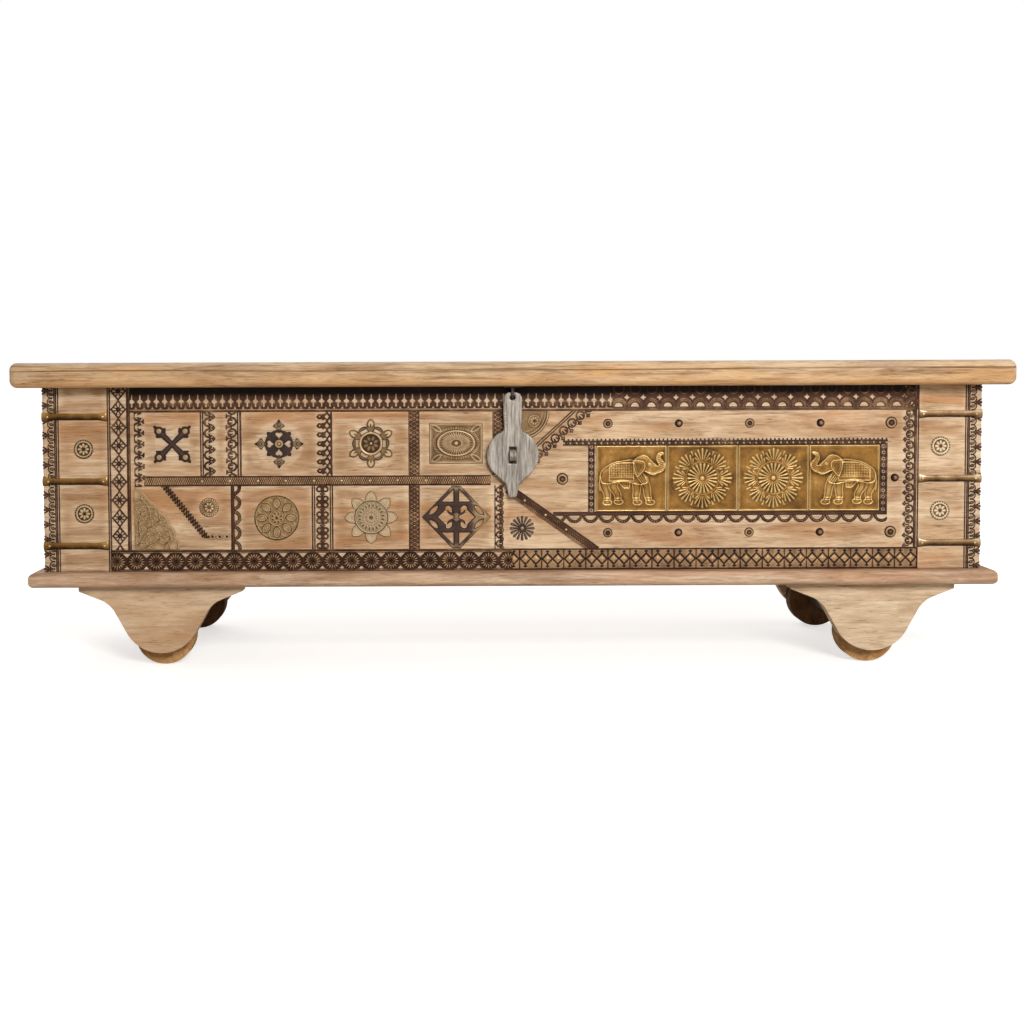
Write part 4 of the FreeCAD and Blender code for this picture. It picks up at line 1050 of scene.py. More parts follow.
def pod_fret(along: Array, across: Array, pitch: float = 13.7) -> Stamp:
    """Round buds on stems beside a dark band, with leaning eyes and diamonds cut through it.

    Args:
        along: distance along it.
        across: distance from its middle.
        pitch: distance between buds.

    Returns:
        The stamp.
    """
    here, between = in_row(along, pitch)
    bud = joined(disc(here, across + 7.6, 3.9), disc(here, across + 11, 1.5))
    stem = bar(here, across, (0, -7.6), (0, -3.4), 3)
    swing = 1.7 * np.cos(2 * np.pi * along / pitch)
    band = np.minimum(across + 4.4 + swing, 11.3 - across)
    eyes = oval(between - 0.5 * (across + 0.6), across + 0.6, 2.5, 3)
    cuts = joined(lozenge(here, across - 3.4, 4.4, 3.2), lozenge(between, across - 7.2, 4, 2.2))
    metal = joined(bud, stem, np.minimum(band, -joined(eyes, cuts)))
    height = raised(metal, 1.2, 0.8) + 0.5 * raised(disc(here, across + 7.6, 1.8), 1.2, 1)
    # The small bright spot at the middle of each bud is a painted highlight.
    return Stamp(metal, height, -0.14 + 0.3 * (disc(here, across + 7.6, 1.4) > 0))


def four_ring_strip(along: Array, across: Array, pitch: float = 24) -> Stamp:
    """Pierced flowers of four hoops, joined in a row between double lines."""
    here, between = in_row(along, pitch)
    places = [(x, z) for x in (-4.7, 4.7) for z in (-4.7, 4.7)]
    hoops = joined(*[ring(here - x, across - z, 3.6, 2.7) for x, z in places])
    links = joined(lozenge(between, across, 3.6, 4.8), rails(across, (0, 0.6)))
    edges = rails(np.abs(across), (15.2, 1), (11.9, 0.8))
    return pierced(joined(hoops, disc(here, across, 2.5), links, edges))


def braid(along: Array, across: Array, half: float = 8.3, pitch: float = 13) -> Stamp:
    """Two raised waves that cross, with a bead in each eye, between plain edges."""
    wave = (half - 3.4) * np.sin(2 * np.pi * along / pitch)
    eyes = disc(repeated(along, pitch / 2, pitch / 4), across, 1.6)
    height = line(across - wave, 2.4, 0.9) + line(across + wave, 2.4, 0.9) + raised(eyes, 1, 0.7)
    return Stamp(solid(along), height + line(np.abs(across) - half + 1.1, 1.4, 0.5))


def bead_band(along: Array, across: Array, pitch: float = 9.4) -> Stamp:
    """A row of small hoops with beads between, under a row of round teeth."""
    here, between = in_row(along, pitch)
    beads = joined(ring(here, across + 1.5, 2.5, 2), disc(between, across + 1.5, 1.9))
    teeth = bar(repeated(along, pitch / 1.5), across, (0, 1.4), (0, 4), 1.5, 2.5)
    return pierced(joined(beads, teeth, rails(across, (1.5, 0.9), (-4.6, 0.8))), 0.9, 0.7)


def chain_strip(along: Array, across: Array, pitch: float = 9.6) -> Stamp:
    """A chain of round links with a dot in each, between two lines."""
    here = repeated(along, pitch)
    links = joined(ring(here, across, 4, 2.6), disc(here, across, 1.4))
    return pierced(joined(links, rails(np.abs(across), (4.9, 1.1))), 1, 0.9, -0.14)


def rope(along: Array, across: Array, pitch: float = 5.4, half: float = 5.2) -> Stamp:
    """A twisted rope: beads that lean across the strip."""
    lean = repeated(along + 0.55 * across, pitch)
    bead = np.minimum(oval(lean, across, 0.46 * pitch, half), half - np.abs(across))
    return Stamp(joined(bead, rails(across, (0, 1.8))), raised(bead, 1.6, 1.1), -0.22)


# Drawings of the flowers and plates: x and z run from the middle


def rosette(x: Array, z: Array, radius: float, petals: int, hole: float) -> Array:
    """Height of a ring of leaf petals from a hole to a radius."""
    out, side = folded(x, z, petals, 180 / petals)
    width = 2 * math.pi * (hole + radius) / 2 / petals * 0.92
    petal = leaf(out - hole, side, radius - hole, width)
    return raised(petal, width / 3, 1) - line(side, width / 5, 0.35) * (petal > 0)


def beaded_rosette(x: Array, z: Array, radius: float = 14.9) -> Stamp:
    """A small round: beads round its rim, a hoop and eight petals."""
    turn = np.arctan2(z, x)
    away = np.hypot(x, z)
    beads = line(away - 0.83 * radius, 0.22 * radius, 0.9) * (0.5 + 0.5 * np.cos(22 * turn))
    flower = rosette(x, z, 0.58 * radius, 8, 0.12 * radius)
    height = beads + line(away - 0.64 * radius, 1.3, 0.5) + flower
    return Stamp(disc(x, z, radius) - 0.25 * (1 - np.cos(22 * turn)), height)


def medallion(x: Array, z: Array, radius: float = 15) -> Stamp:
    """A corner round: dark beaded rim, a pale hoop, a dark groove, and eight petals round a dark pip.

    Args:
        x: distance across.
        z: distance up.
        radius: the round's radius.

    Returns:
        The stamp.
    """
    turn, away = np.arctan2(z, x), np.hypot(x, z)
    out, side = folded(x, z, 8)
    petal = leaf(out - 2, side, 0.52 * radius, 4.6)
    beads = np.cos(22 * turn)
    rim = line(away - 13.7, 2.4, 0.6) * (0.6 + 0.4 * beads)
    height = rim + line(away - 11.4, 1.8, 0.8) + raised(petal, 1.3, 0.8)
    zones = [away > 12.5, away > 10.4, away > 9.2, away < 2.2]
    rub = np.select(zones, [-0.22 + 0.24 * beads, 0.22, -0.4, -0.4], 0.05)
    return Stamp(disc(x, z, radius) - 0.3 * (1 - beads), height, rub)


def lotus_round(x: Array, z: Array, radius: float = 34.4) -> Stamp:
    """A large round: rim, eight lotus petals within petals, a hoop and an eight-petalled centre.

    Args:
        x: distance across.
        z: distance up.
        radius: the round's radius.

    Returns:
        The stamp.
    """
    away = np.hypot(x, z)
    out, side = folded(x, z, 8)
    petal = leaf(out - 13.8, side, 17, 11.6)
    inner = line(leaf(out - 16.4, side, 9.5, 5.8), 1.5, 0.9)
    inner = inner + raised(leaf(out - 18.2, side, 5.6, 2.8), 1.2, 0.6)
    between = line(leaf(*folded(x, z, 8, 22.5), 31.5, 9.6), 1.5, 0.8)
    wreath = np.where(petal > -0.9, line(petal, 2.2, 1.1) + inner, between) * (away > 12.8)
    hoops = line(away - 32.9, 2.2, 1.2) + line(away - 12.8, 1.8, 0.9)
    centre = rosette(x, z, 10.8, 8, 3) * (away < 11.8) + raised(disc(x, z, 3.6), 1.8, 1.2)
    dark = (np.abs(petal) < 0.9) & (away > 12.8)
    dark = dark | (np.abs(away - 12.8) < 0.7) | (np.abs(away - 4) < 0.8)
    return Stamp(disc(x, z, radius), wreath + hoops + centre, 0.18 * dark + 0.35 * (away > 32.2))


def sunflower(x: Array, z: Array, radius: float = 40.8) -> Stamp:
    """A sunflower: eight broad outer petals behind a disc with two rings of petals.

    Args:
        x: distance across.
        z: distance up.
        radius: distance of the outer petals' points.

    Returns:
        The stamp.
    """
    away = np.hypot(x, z)
    out, side = folded(x, z, 8)
    petal = leaf(out - 11, side, radius - 11, 18.4)
    outer = line(petal - 0.4, 1.5, 0.7) + line(leaf(out - 18, side, radius - 23, 10), 1.1, 0.35)
    hoops = line(away - 24.8, 1.8, 1) + line(away - 11.6, 1.4, 0.7)
    middle = 0.9 * rosette(x, z, 23, 20, 12.6) * (away > 12.2)
    middle = middle + 0.8 * rosette(x, z, 10.6, 12, 4.2) * (away < 11)
    height = outer * (away > 25.5) + hoops + middle + raised(disc(x, z, 4.4), 1.8, 1.2)
    grooves = (np.abs(away - 25.9) < 0.8) | (np.abs(away - 4.7) < 0.9)
    dark = 0.3 * grooves + 0.26 * (petal < 1) * (away > 26)
    return Stamp(joined(disc(x, z, 25.8), petal), height, dark)


def starburst(x: Array, z: Array, radius: float = 18.9, rays: int = 16) -> Stamp:
    """Separate tapered dark rays round a small bright boss."""
    out, side = folded(x, z, rays)
    ray = bar(out, side, (5, 0), (radius - 2.1, 0), 1.4, 4.2)
    away = np.hypot(x, z)
    height = raised(ray, 1.6, 1) + line(away - 5.4, 1.4, 0.4) + raised(disc(x, z, 2.6), 1.6, 1.2)
    return Stamp(joined(ray, disc(x, z, 6.4)), height, np.where(away < 3.2, 0.3, -0.26))


def budded_cross(x: Array, z: Array, reach: float = 39.6) -> Stamp:
    """A slanting cross: each arm widens into a cup that holds a bright ball under a pointed cap.

    Args:
        x: distance across.
        z: distance up.
        reach: length of an arm.

    Returns:
        The stamp.
    """
    out, side = folded(x, z, 4, 45)
    arm = bar(out, side, (0, 0), (20, 0), 6.6, 9.4)
    ball = disc(out - 28, side, 5)
    head = disc(out - 28, side, 7.3)
    knob = bar(out, np.abs(side), (21, 5), (24.4, 8.2), 3.6, 3.8)
    tip = leaf(out - 33, side, reach - 33, 4.8)
    height = raised(arm, 3, 0.8) + raised(ball, 2.6, 1.6) + line(head - 1, 1.6, 0.3)
    return Stamp(joined(arm, head, knob, tip), height, -0.38 + 0.5 * (ball > 0.3))


LILY: tuple[Point, ...] = (
    (19.5, -1), (19.5, 3.8), (23.4, 3.6), (26.4, 9), (29.8, 7.2), (31.8, 3.6), (37, 0.9), (37, -1),
)


def heart_flower(x: Array, z: Array) -> Stamp:
    """A dark disc with four heart-shaped openings, a hoop, small horns, and a lily at each quarter.

    Args:
        x: distance across.
        z: distance up.

    Returns:
        The stamp.
    """
    away = np.hypot(x, z)
    out, side = folded(x, z, 4)
    beside = np.abs(side)
    corner_out, corner_side = folded(x, z, 4, 45)
    plate = joined(disc(x, z, 21.4), leaf(corner_out - 15.5, corner_side, 10, 7))
    taper = np.minimum(0.6 * (out - 7.8) - 0.8 * beside, 15 - out)
    heart = joined(disc(out - 14.9, beside - 2.6, 2.7), taper)
    lily = cornered(out, beside, LILY)
    boss = disc(out - 28.4, side, 2.6)
    pip = raised(disc(x, z, 6.4), 1.2, 1.2) - raised(disc(x, z, 4.4), 1, 0.5)
    pip = pip + raised(disc(x, z, 3.4), 2, 1.2)
    height = line(away - 19.6, 1.2, 0.25) + pip + raised(lily, 1.4, 0.5) + raised(boss, 1.4, 0.9)
    points = (away > 32.4) | (beside > 6.6) | (boss > 0)
    zones = [away < 3.4, away < 6.6, away < 22.4]
    rub = np.select(zones, [-0.2, 0.3, -0.3], 0.2 - 0.6 * points)
    return Stamp(joined(np.minimum(plate, -heart), lily), height, rub)


def arched_flower(x: Array, z: Array) -> Stamp:
    """A dark disc with a flower, a pale hoop, six thick arches with openings, and buds between.

    Args:
        x: distance across.
        z: distance up.

    Returns:
        The stamp.
    """
    away, turn = np.hypot(x, z), np.arctan2(z, x)
    side = folded(x, z, 6)[1]
    plate = 26.6 - away + 1.6 * np.cos(6 * turn)
    window = np.minimum(ring(x, z, 20.8, 4.4), 5.6 - np.abs(side))
    bud_out, bud_side = folded(x, z, 6, 30)
    bud = leaf(bud_out - 20, bud_side, 17.6, 12.8)
    blade = leaf(bud_out - 23.6, bud_side, 11.6, 7.4)
    stroke = bar(bud_out, bud_side, (25.5, 0), (29.5, 0), 2.6, 1.2)
    height = line(away - 16.2, 2.6, 0.9) + 0.6 * rosette(x, z, 13.8, 8, 2.4) * (away < 14.4)
    height = height + raised(plate, 3, 0.5) * (away > 17.8) + raised(disc(x, z, 2.6), 1.6, 1)
    zones = [blade > 0, away < 14.6, away < 17.8]
    rub = np.select(zones, [0.42 - 0.7 * (stroke > 0), -0.3, 0.25], -0.16)
    rims = 0.2 * (np.abs(plate - 0.6) < 0.8) * (bud < 0) + 0.25 * (np.abs(window + 0.9) < 0.8)
    return Stamp(joined(np.minimum(plate, -window), bud), height, rub - rims)


def oval_plate(x: Array, z: Array, half_x: float, half_z: float) -> Stamp:
    """A plate with a fluted oval: radial flutes, a hoop, short rays round it and leaves in the corners.

    Args:
        x: distance across.
        z: distance up.
        half_x: half the plate's width.
        half_z: half its height.

    Returns:
        The stamp.
    """
    wide, tall = x / 27.4, z / 18.6
    rim, turn = np.hypot(wide, tall), np.arctan2(tall, wide)
    flutes = (0.5 + 0.5 * np.cos(40 * turn)) * (rim > 0.36) * (rim < 0.94)
    rays = (0.5 + 0.5 * np.cos(56 * turn)) * (rim > 1.12) * (rim < 1.3)
    hoops = line((rim - 1) * 20, 2.4, 1.4) + line((rim - 0.32) * 20, 1.6, 0.7)
    dome = raised((1 - rim) * 20, 8, 1) + raised(disc(x, z, 3.4), 2, 1.4)
    corner = leaf(*spun(np.abs(x), np.abs(z), 214, (half_x - 3.4, half_z - 3.2)), 17, 6.4)
    edge = slab(x, z, half_x, half_z)
    lines = line(corner, 1.4, 0.7) + line(edge - 1.4, 1.6, 0.9) + line(edge - 3.4, 1.1, 0.4)
    return Stamp(edge + 0.2, 0.9 * flutes + 0.6 * rays + hoops + dome + lines)


FOLIAGE_STEMS: tuple[tuple[Point, ...], ...] = (
    ((-30, -44), (-18, -24), (-10, -2), (-16, 20), (-27, 30)),
    ((-18, -44), (2, -34), (16, -20), (20, -34), (10, -40)),
    ((-14, -16), (2, -6), (8, 8), (2, 18), (-6, 12)),
    ((-26, -30), (-28, -10), (-24, 8)),
)


def foliage(x: Array, z: Array, half_x: float, half_z: float, bow: float = 13) -> Stamp:
    """A corner plate with a bowed, lobed right edge, covered with scrolling stems and their leaves.

    Args:
        x: distance across.
        z: distance up.
        half_x: half the plate's width.
        half_z: half its height.
        bow: how far the right edge bulges from a straight slope.

    Returns:
        The stamp.
    """
    rise = (z + half_z) / (2 * half_z)
    lobes = 3 * np.abs(np.sin(5 * math.pi * rise))
    room = half_x - 2 * half_x * rise + bow * 4 * rise * (1 - rise) + lobes - x
    height, veins = np.zeros(x.shape), np.zeros(x.shape)
    for stem in FOLIAGE_STEMS:
        spots = curve(stem, 5)
        for step, ((ax, az), (bx, bz)) in enumerate(zip(spots, spots[1:])):
            height = np.maximum(height, line(bar(x, z, (ax, az), (bx, bz), 0), 2.3, 1))
            if step % 4 == 1:
                heading = math.degrees(math.atan2(bz - az, bx - ax))
                for way in (1, -1):
                    out, side = spun(x, z, heading + 52 * way, (ax, az))
                    blade = leaf(out - 1, side - 0.012 * way * out * out, 14, 7.4)
                    vein = 0.6 * line(side, 1, 1) * (blade > 0.6)
                    height = np.maximum(height * (blade < 0.8), line(blade, 1.7, 1))
                    veins = np.maximum(veins * (blade < 0), vein)
    height = np.maximum(height, veins) * raised(room - 4.6, 2, 1)
    rims = line(room - 3.4, 1.6, 0.9) + line(room - 0.9, 1.4, 0.7)
    plate = np.minimum(room, slab(x, z, half_x, half_z) + 0.2)
    return Stamp(plate, height + rims, 0.16 * (height > 0.5) - 0.04)


def quarter_round(x: Array, z: Array, size: float) -> Stamp:
    """A quarter of a round plate about its upper left corner, with arcs and a small flower.

    Args:
        x: distance across.
        z: distance up.
        size: the round's radius.

    Returns:
        The stamp.
    """
    across, down = x + size / 2, size / 2 - z
    away = np.hypot(across, down)
    aside, below = across - 0.46 * size, down - 0.34 * size
    near = np.hypot(aside, below)
    arcs = line(away - 0.95 * size, 1.6, 0.7) + line(away - 0.86 * size, 1.2, 0.5)
    arcs = arcs + line(away - 0.74 * size, 1.4, 0.3)
    flower = 0.6 * rosette(aside, below, 0.17 * size, 8, 2) + line(near - 0.21 * size, 1.2, 0.4)
    dark = 0.25 * (np.abs(away - 0.9 * size) < 0.7) + 0.3 * (near < 1.8)
    dark = dark + 0.2 * (np.abs(near - 0.24 * size) < 0.7)
    plate = np.minimum(size - away, slab(x, z, size / 2, size / 2) + 0.2)
    return Stamp(plate, arcs + flower, -dark)


def plate_edge(x: Array, z: Array, half_x: float, half_z: float) -> tuple[Array, Array]:
    """A plate's rectangle as a distance, and the height of two raised lines inside it."""
    edge = slab(x, z, half_x, half_z)
    return edge, line(edge - 1.2, 1.6, 1) + line(edge - 3.6, 1, 0.3)


def lattice_diamond(x: Array, z: Array, half_x: float, half_z: float) -> Stamp:
    """An open diamond: barred frame, an upright, arched cross-pieces with curled lips, and side leaves.

    Args:
        x: distance across.
        z: distance up.
        half_x: half the diamond's width.
        half_z: half its height, where its points are cut off.

    Returns:
        The stamp.
    """
    beside, above = np.abs(x), np.abs(z)
    outer = np.minimum(lozenge(x, z, half_x, half_z * 1.14), half_z - above)
    end = np.minimum(outer - 5.4, np.minimum(beside - 4.4, above - 23.6))
    slit = leaf(*spun(beside, above, 134, (41, 3.6)), 19, 6.6)
    stem = joined(4.3 - beside, slab(beside, above - 13, 6.6, 6))
    lips = tube(beside, above, [(2, 3.6), (7, 5), (11, 6.6), (13, 10)], 4.6, 2.2)
    eye = np.minimum(lozenge(x, z, 28, 27), 14.6 - above)
    eye = joined(eye, disc(beside - 12.2, above - 13.2, 4.2))
    hollow = np.minimum(eye, -joined(stem, lips))
    metal = np.minimum(outer, -joined(end, slit, hollow))
    height = raised(metal, 2, 0.9) - line(outer - 2.7, 1.8, 0.6)
    worn = 0.5 * np.clip((x - 16) / 14, 0, 1) + 0.4 * np.clip((above - 36) / 8, 0, 1)
    worn = worn + 0.4 * (np.hypot(x, z * 0.8) < 5)
    return Stamp(metal, height, worn - 0.36 + 0.2 * (np.abs(outer - 2.7) < 0.9))


def mandala(x: Array, z: Array, half_x: float, half_z: float) -> Stamp:
    """A plate with a large flower: fluted middle petals inside a wreath of eight palm leaves.

    Args:
        x: distance across.
        z: distance up.
        half_x: half the plate's width.
        half_z: half its height.

    Returns:
        The stamp, with dirt between the petals.
    """
    out, side = folded(x, z, 22)
    palm, beside = folded(x, z, 8)
    beside = np.abs(beside)
    bud, apart = folded(x, z, 8, 22.5)
    blades = joined(
        bar(out, side, (5.6, 0), (21.4, 0), 1.5, 4.9),
        bar(palm, beside, (28, 0), (44.2, 0), 2.2, 4.4),
        bar(palm, beside, (28, 2), (42.6, 6.6), 1.8, 4.2),
        bar(palm, beside, (27, 4), (37.6, 11), 1.8, 4.2),
        bar(palm, beside, (25.4, 5), (30.6, 10.6), 1.8, 3.6),
        bar(bud, apart, (37, 0), (43.4, 0), 2, 4),
    )
    away = np.hypot(x, z)
    height = raised(blades, 1.9, 1.6) + raised(disc(x, z, 4.4), 3, 1.4) + line(away - 24.6, 1.4, 0.5)
    edge, rims = plate_edge(x, z, half_x, half_z)
    rub = 0.06 * (away < 45) - 0.08 * (edge < 12) * (away > 45)
    return Stamp(edge + 0.2, height + rims, rub)


ELEPHANT_BODY: tuple[Point, ...] = (
    (-47.4, 4.6), (-44.5, 11.9), (-35.8, 19.1), (-24.2, 24.6), (-11.2, 26.8), (1.9, 27.8),
    (10, 20), (18, 8), (22.5, 0), (23.5, -7), (12, -9), (2, -7), (-10, -5), (-24, -5.5),
    (-36, -8), (-45, -6),
)
ELEPHANT_HEAD: tuple[Point, ...] = (
    (1.9, 24.9), (4.8, 28.6), (10.6, 32.9), (17.8, 35.1), (23.6, 33.6), (28, 29.3),
    (33.8, 23.5), (38.8, 19.1), (41, 13), (36.7, 5.6), (28, 6.8), (21.4, 10.4), (14, 12), (6, 17),
)
ELEPHANT_EAR: tuple[Point, ...] = (
    (4.5, 27.5), (12, 26.5), (18.5, 25), (20.3, 20), (19, 14), (14, 7.5), (9, 3), (6, 9), (3.6, 18),
)
ELEPHANT_TRUNK: tuple[Point, ...] = (
    (35, 13), (43.5, 14.5), (46.8, 19.9), (44, 25), (41.2, 30), (42, 35.6), (46.6, 38),
)
ELEPHANT_LEGS: tuple[tuple[Point, ...], ...] = (
    ((-42, 1), (-41, -12), (-36.5, -24), (-37.5, -35.5)),
    ((-25, -3), (-27, -13), (-21, -24), (-20.5, -34.5)),
    ((7.5, -4), (8.5, -16), (7.2, -27), (8, -35.5)),
    ((18.5, -2), (23, -13), (24.5, -24), (27.5, -35.5)),
)


def elephant(x: Array, z: Array, half_x: float, half_z: float, facing: int,
             cloth_half: float = 18.5) -> Stamp:
    """A plate with a walking elephant in a patterned cloth, trunk raised, drawn in raised lines.

    Args:
        x: distance across.
        z: distance up.
        half_x: half the plate's width.
        half_z: half its height.
        facing: 1 for right and -1 for left.
        cloth_half: half the cloth's length.

    Returns:
        The stamp.
    """
    u = x * facing
    shapes = (ELEPHANT_BODY, ELEPHANT_HEAD, ELEPHANT_EAR)
    body, head, ear = (outlined(u, z, shape) for shape in shapes)
    trunk = tube(u, z, ELEPHANT_TRUNK, 11.5, 3.8)
    limbs = [tube(u, z, leg, 13, 8.6) for leg in ELEPHANT_LEGS]
    feet = [oval(u - leg[-1][0] - 1.2, z - leg[-1][1] + 1, 6.6, 4) for leg in ELEPHANT_LEGS]
    legs = np.minimum(joined(*limbs, *feet), z + 40.2)
    tail = tube(u, z, [(-47, 2), (-49, -8), (-47.5, -18)], 1.8, 3.6)
    tusk = tube(u, z, [(26, 9), (32, 6.4), (39, 7.4)], 2.6, 1.2)
    cloth = np.minimum(body - 2.2, slab(u + 15, z - 10, cloth_half, 14))
    flap = cornered(u, z, [(-21, -4), (-2, -4), (-3, -14.6), (-11, -14.6)])
    height = 0.7 * raised(joined(body, head, trunk, legs), 4, 1) + line(legs, 1.5, 1) * (body < 0.4)
    height = height + line(body, 1.6, 1.1) * (head < 0.6) * (trunk < 0.6)
    dots = np.cos(1.25 * (u + z)) * np.cos(1.25 * (u - z))
    height = height + raised(cloth, 1.2, 0.5) * (0.4 + 1.2 * dots) * (z > 2) + line(cloth, 1.4, 0.8)
    height = height + line(z - 1.2, 1.2, 0.6) * (cloth > 0)
    height = height + line(flap, 1.3, 0.9) + line(flap - 3, 1.1, 0.5)
    lean = (24 * u + 17 * z) / 29.4
    bands = sum(line(lean - place, 1.3, 0.8) for place in (8.6, 11.6, 14.6, 17.6))
    height = height + bands * (body > 0.6) * (cloth < -0.5) * (u > 0) * (head < 0)
    height = np.where(head > 0, 0.8 + 0.3 * raised(head, 5, 1), height)
    height = height + line(head, 1.5, 1) * (trunk < 1)
    rings = 0.25 * np.cos(2 * (u * 0.4 + z)) * (u > 40.5)
    height = np.where(trunk > 0.4, 0.9 + rings, height) + line(trunk, 1.5, 1) * (head < 2.5)
    height = np.where(ear > 0, 1.1, height) + line(ear, 1.5, 1) + line(ear - 2.8, 1.1, 0.5)
    height = np.maximum(height, raised(tusk, 1.2, 1.9)) + raised(tail, 1.2, 0.9)
    height = height + line(np.hypot((u - 27.5) / 1.5, z - 21.5) - 1.3, 1, 0.8)
    anklets = sum(line(z + level, 1.2, 0.8) for level in (30, 33.4)) * (legs > 0)
    edge, rims = plate_edge(x, z, half_x, half_z)
    return Stamp(edge + 0.2, height + anklets + rims)


def flame_edging(along: Array, across: Array, half: float, pitch: float = 22.6) -> Stamp:
    """A column of leaf eyes in thin arcs, tridents that open to the corner, and double lines inside.

    Args:
        along: distance along it.
        across: distance from its middle, towards the corner.
        half: half the strip's width.
        pitch: distance between tridents.

    Returns:
        The stamp.
    """
    here, eye = repeated(along, pitch), repeated(along, pitch / 2, pitch / 4)
    eyes = leaf(*spun(eye, across, 70, (-1.4, -4.6)), 8, 4.8)
    arcs = np.minimum(ring(eye, across + 0.8, 5.3, 1.3), across + 3.4)
    fork = bar(here, across, (0, 4.2), (0, half + 2), 2, 4.6)
    prongs = bar(np.abs(here), across, (1, 4.4), (6.2, half + 2), 1.7, 1.9)
    lines = rails(across + half, (1, 0.7), (4.2, 0.9), (6.6, 0.7))
    return pierced(joined(eyes, arcs, fork, prongs, lines))


def hasp_plate(x: Array, z: Array, half_z: float, disc_z: float, disc_radius: float = 39) -> Stamp:
    """A strap with two rows of punched dots, a disc drawn down to a tongue, a slot and a hole.

    Args:
        x: distance across.
        z: distance up.
        half_z: half the hasp's height.
        disc_z: height of the disc's centre above the middle.
        disc_radius: the disc's radius.

    Returns:
        The stamp.
    """
    up, beside = z - disc_z, np.abs(x)
    top, bottom = half_z - disc_z, -half_z - disc_z
    low = (math.sqrt(disc_radius ** 2 - 18 ** 2), -18)
    right = [(6, top), (11.4, top - 2.4), (14.4, top - 8), (14.2, top - 30), (13.2, 44),
             (14, 38), (19, 32), low, (10.6, -44), (9.4, -47), (6, bottom + 2),
             (3.4, bottom)]
    whole = cornered(x, up, right + [(-a, b) for a, b in reversed(right)])
    hole = disc(x, up - top + 8, 4)
    slot = slab(x, up, 5.4, 12.5)
    metal = np.minimum(joined(whole, disc(x, up, disc_radius)), -joined(hole, slot))
    row = np.minimum(up - 42, top - 20 - up) > 0
    dots = raised(disc(beside - 10.6, repeated(up, 4.6), 1.3), 0.8, 0.6) * row
    return Stamp(metal, raised(metal, 1.6, 0.5) - 0.5 - dots)


# Sub-assemblies


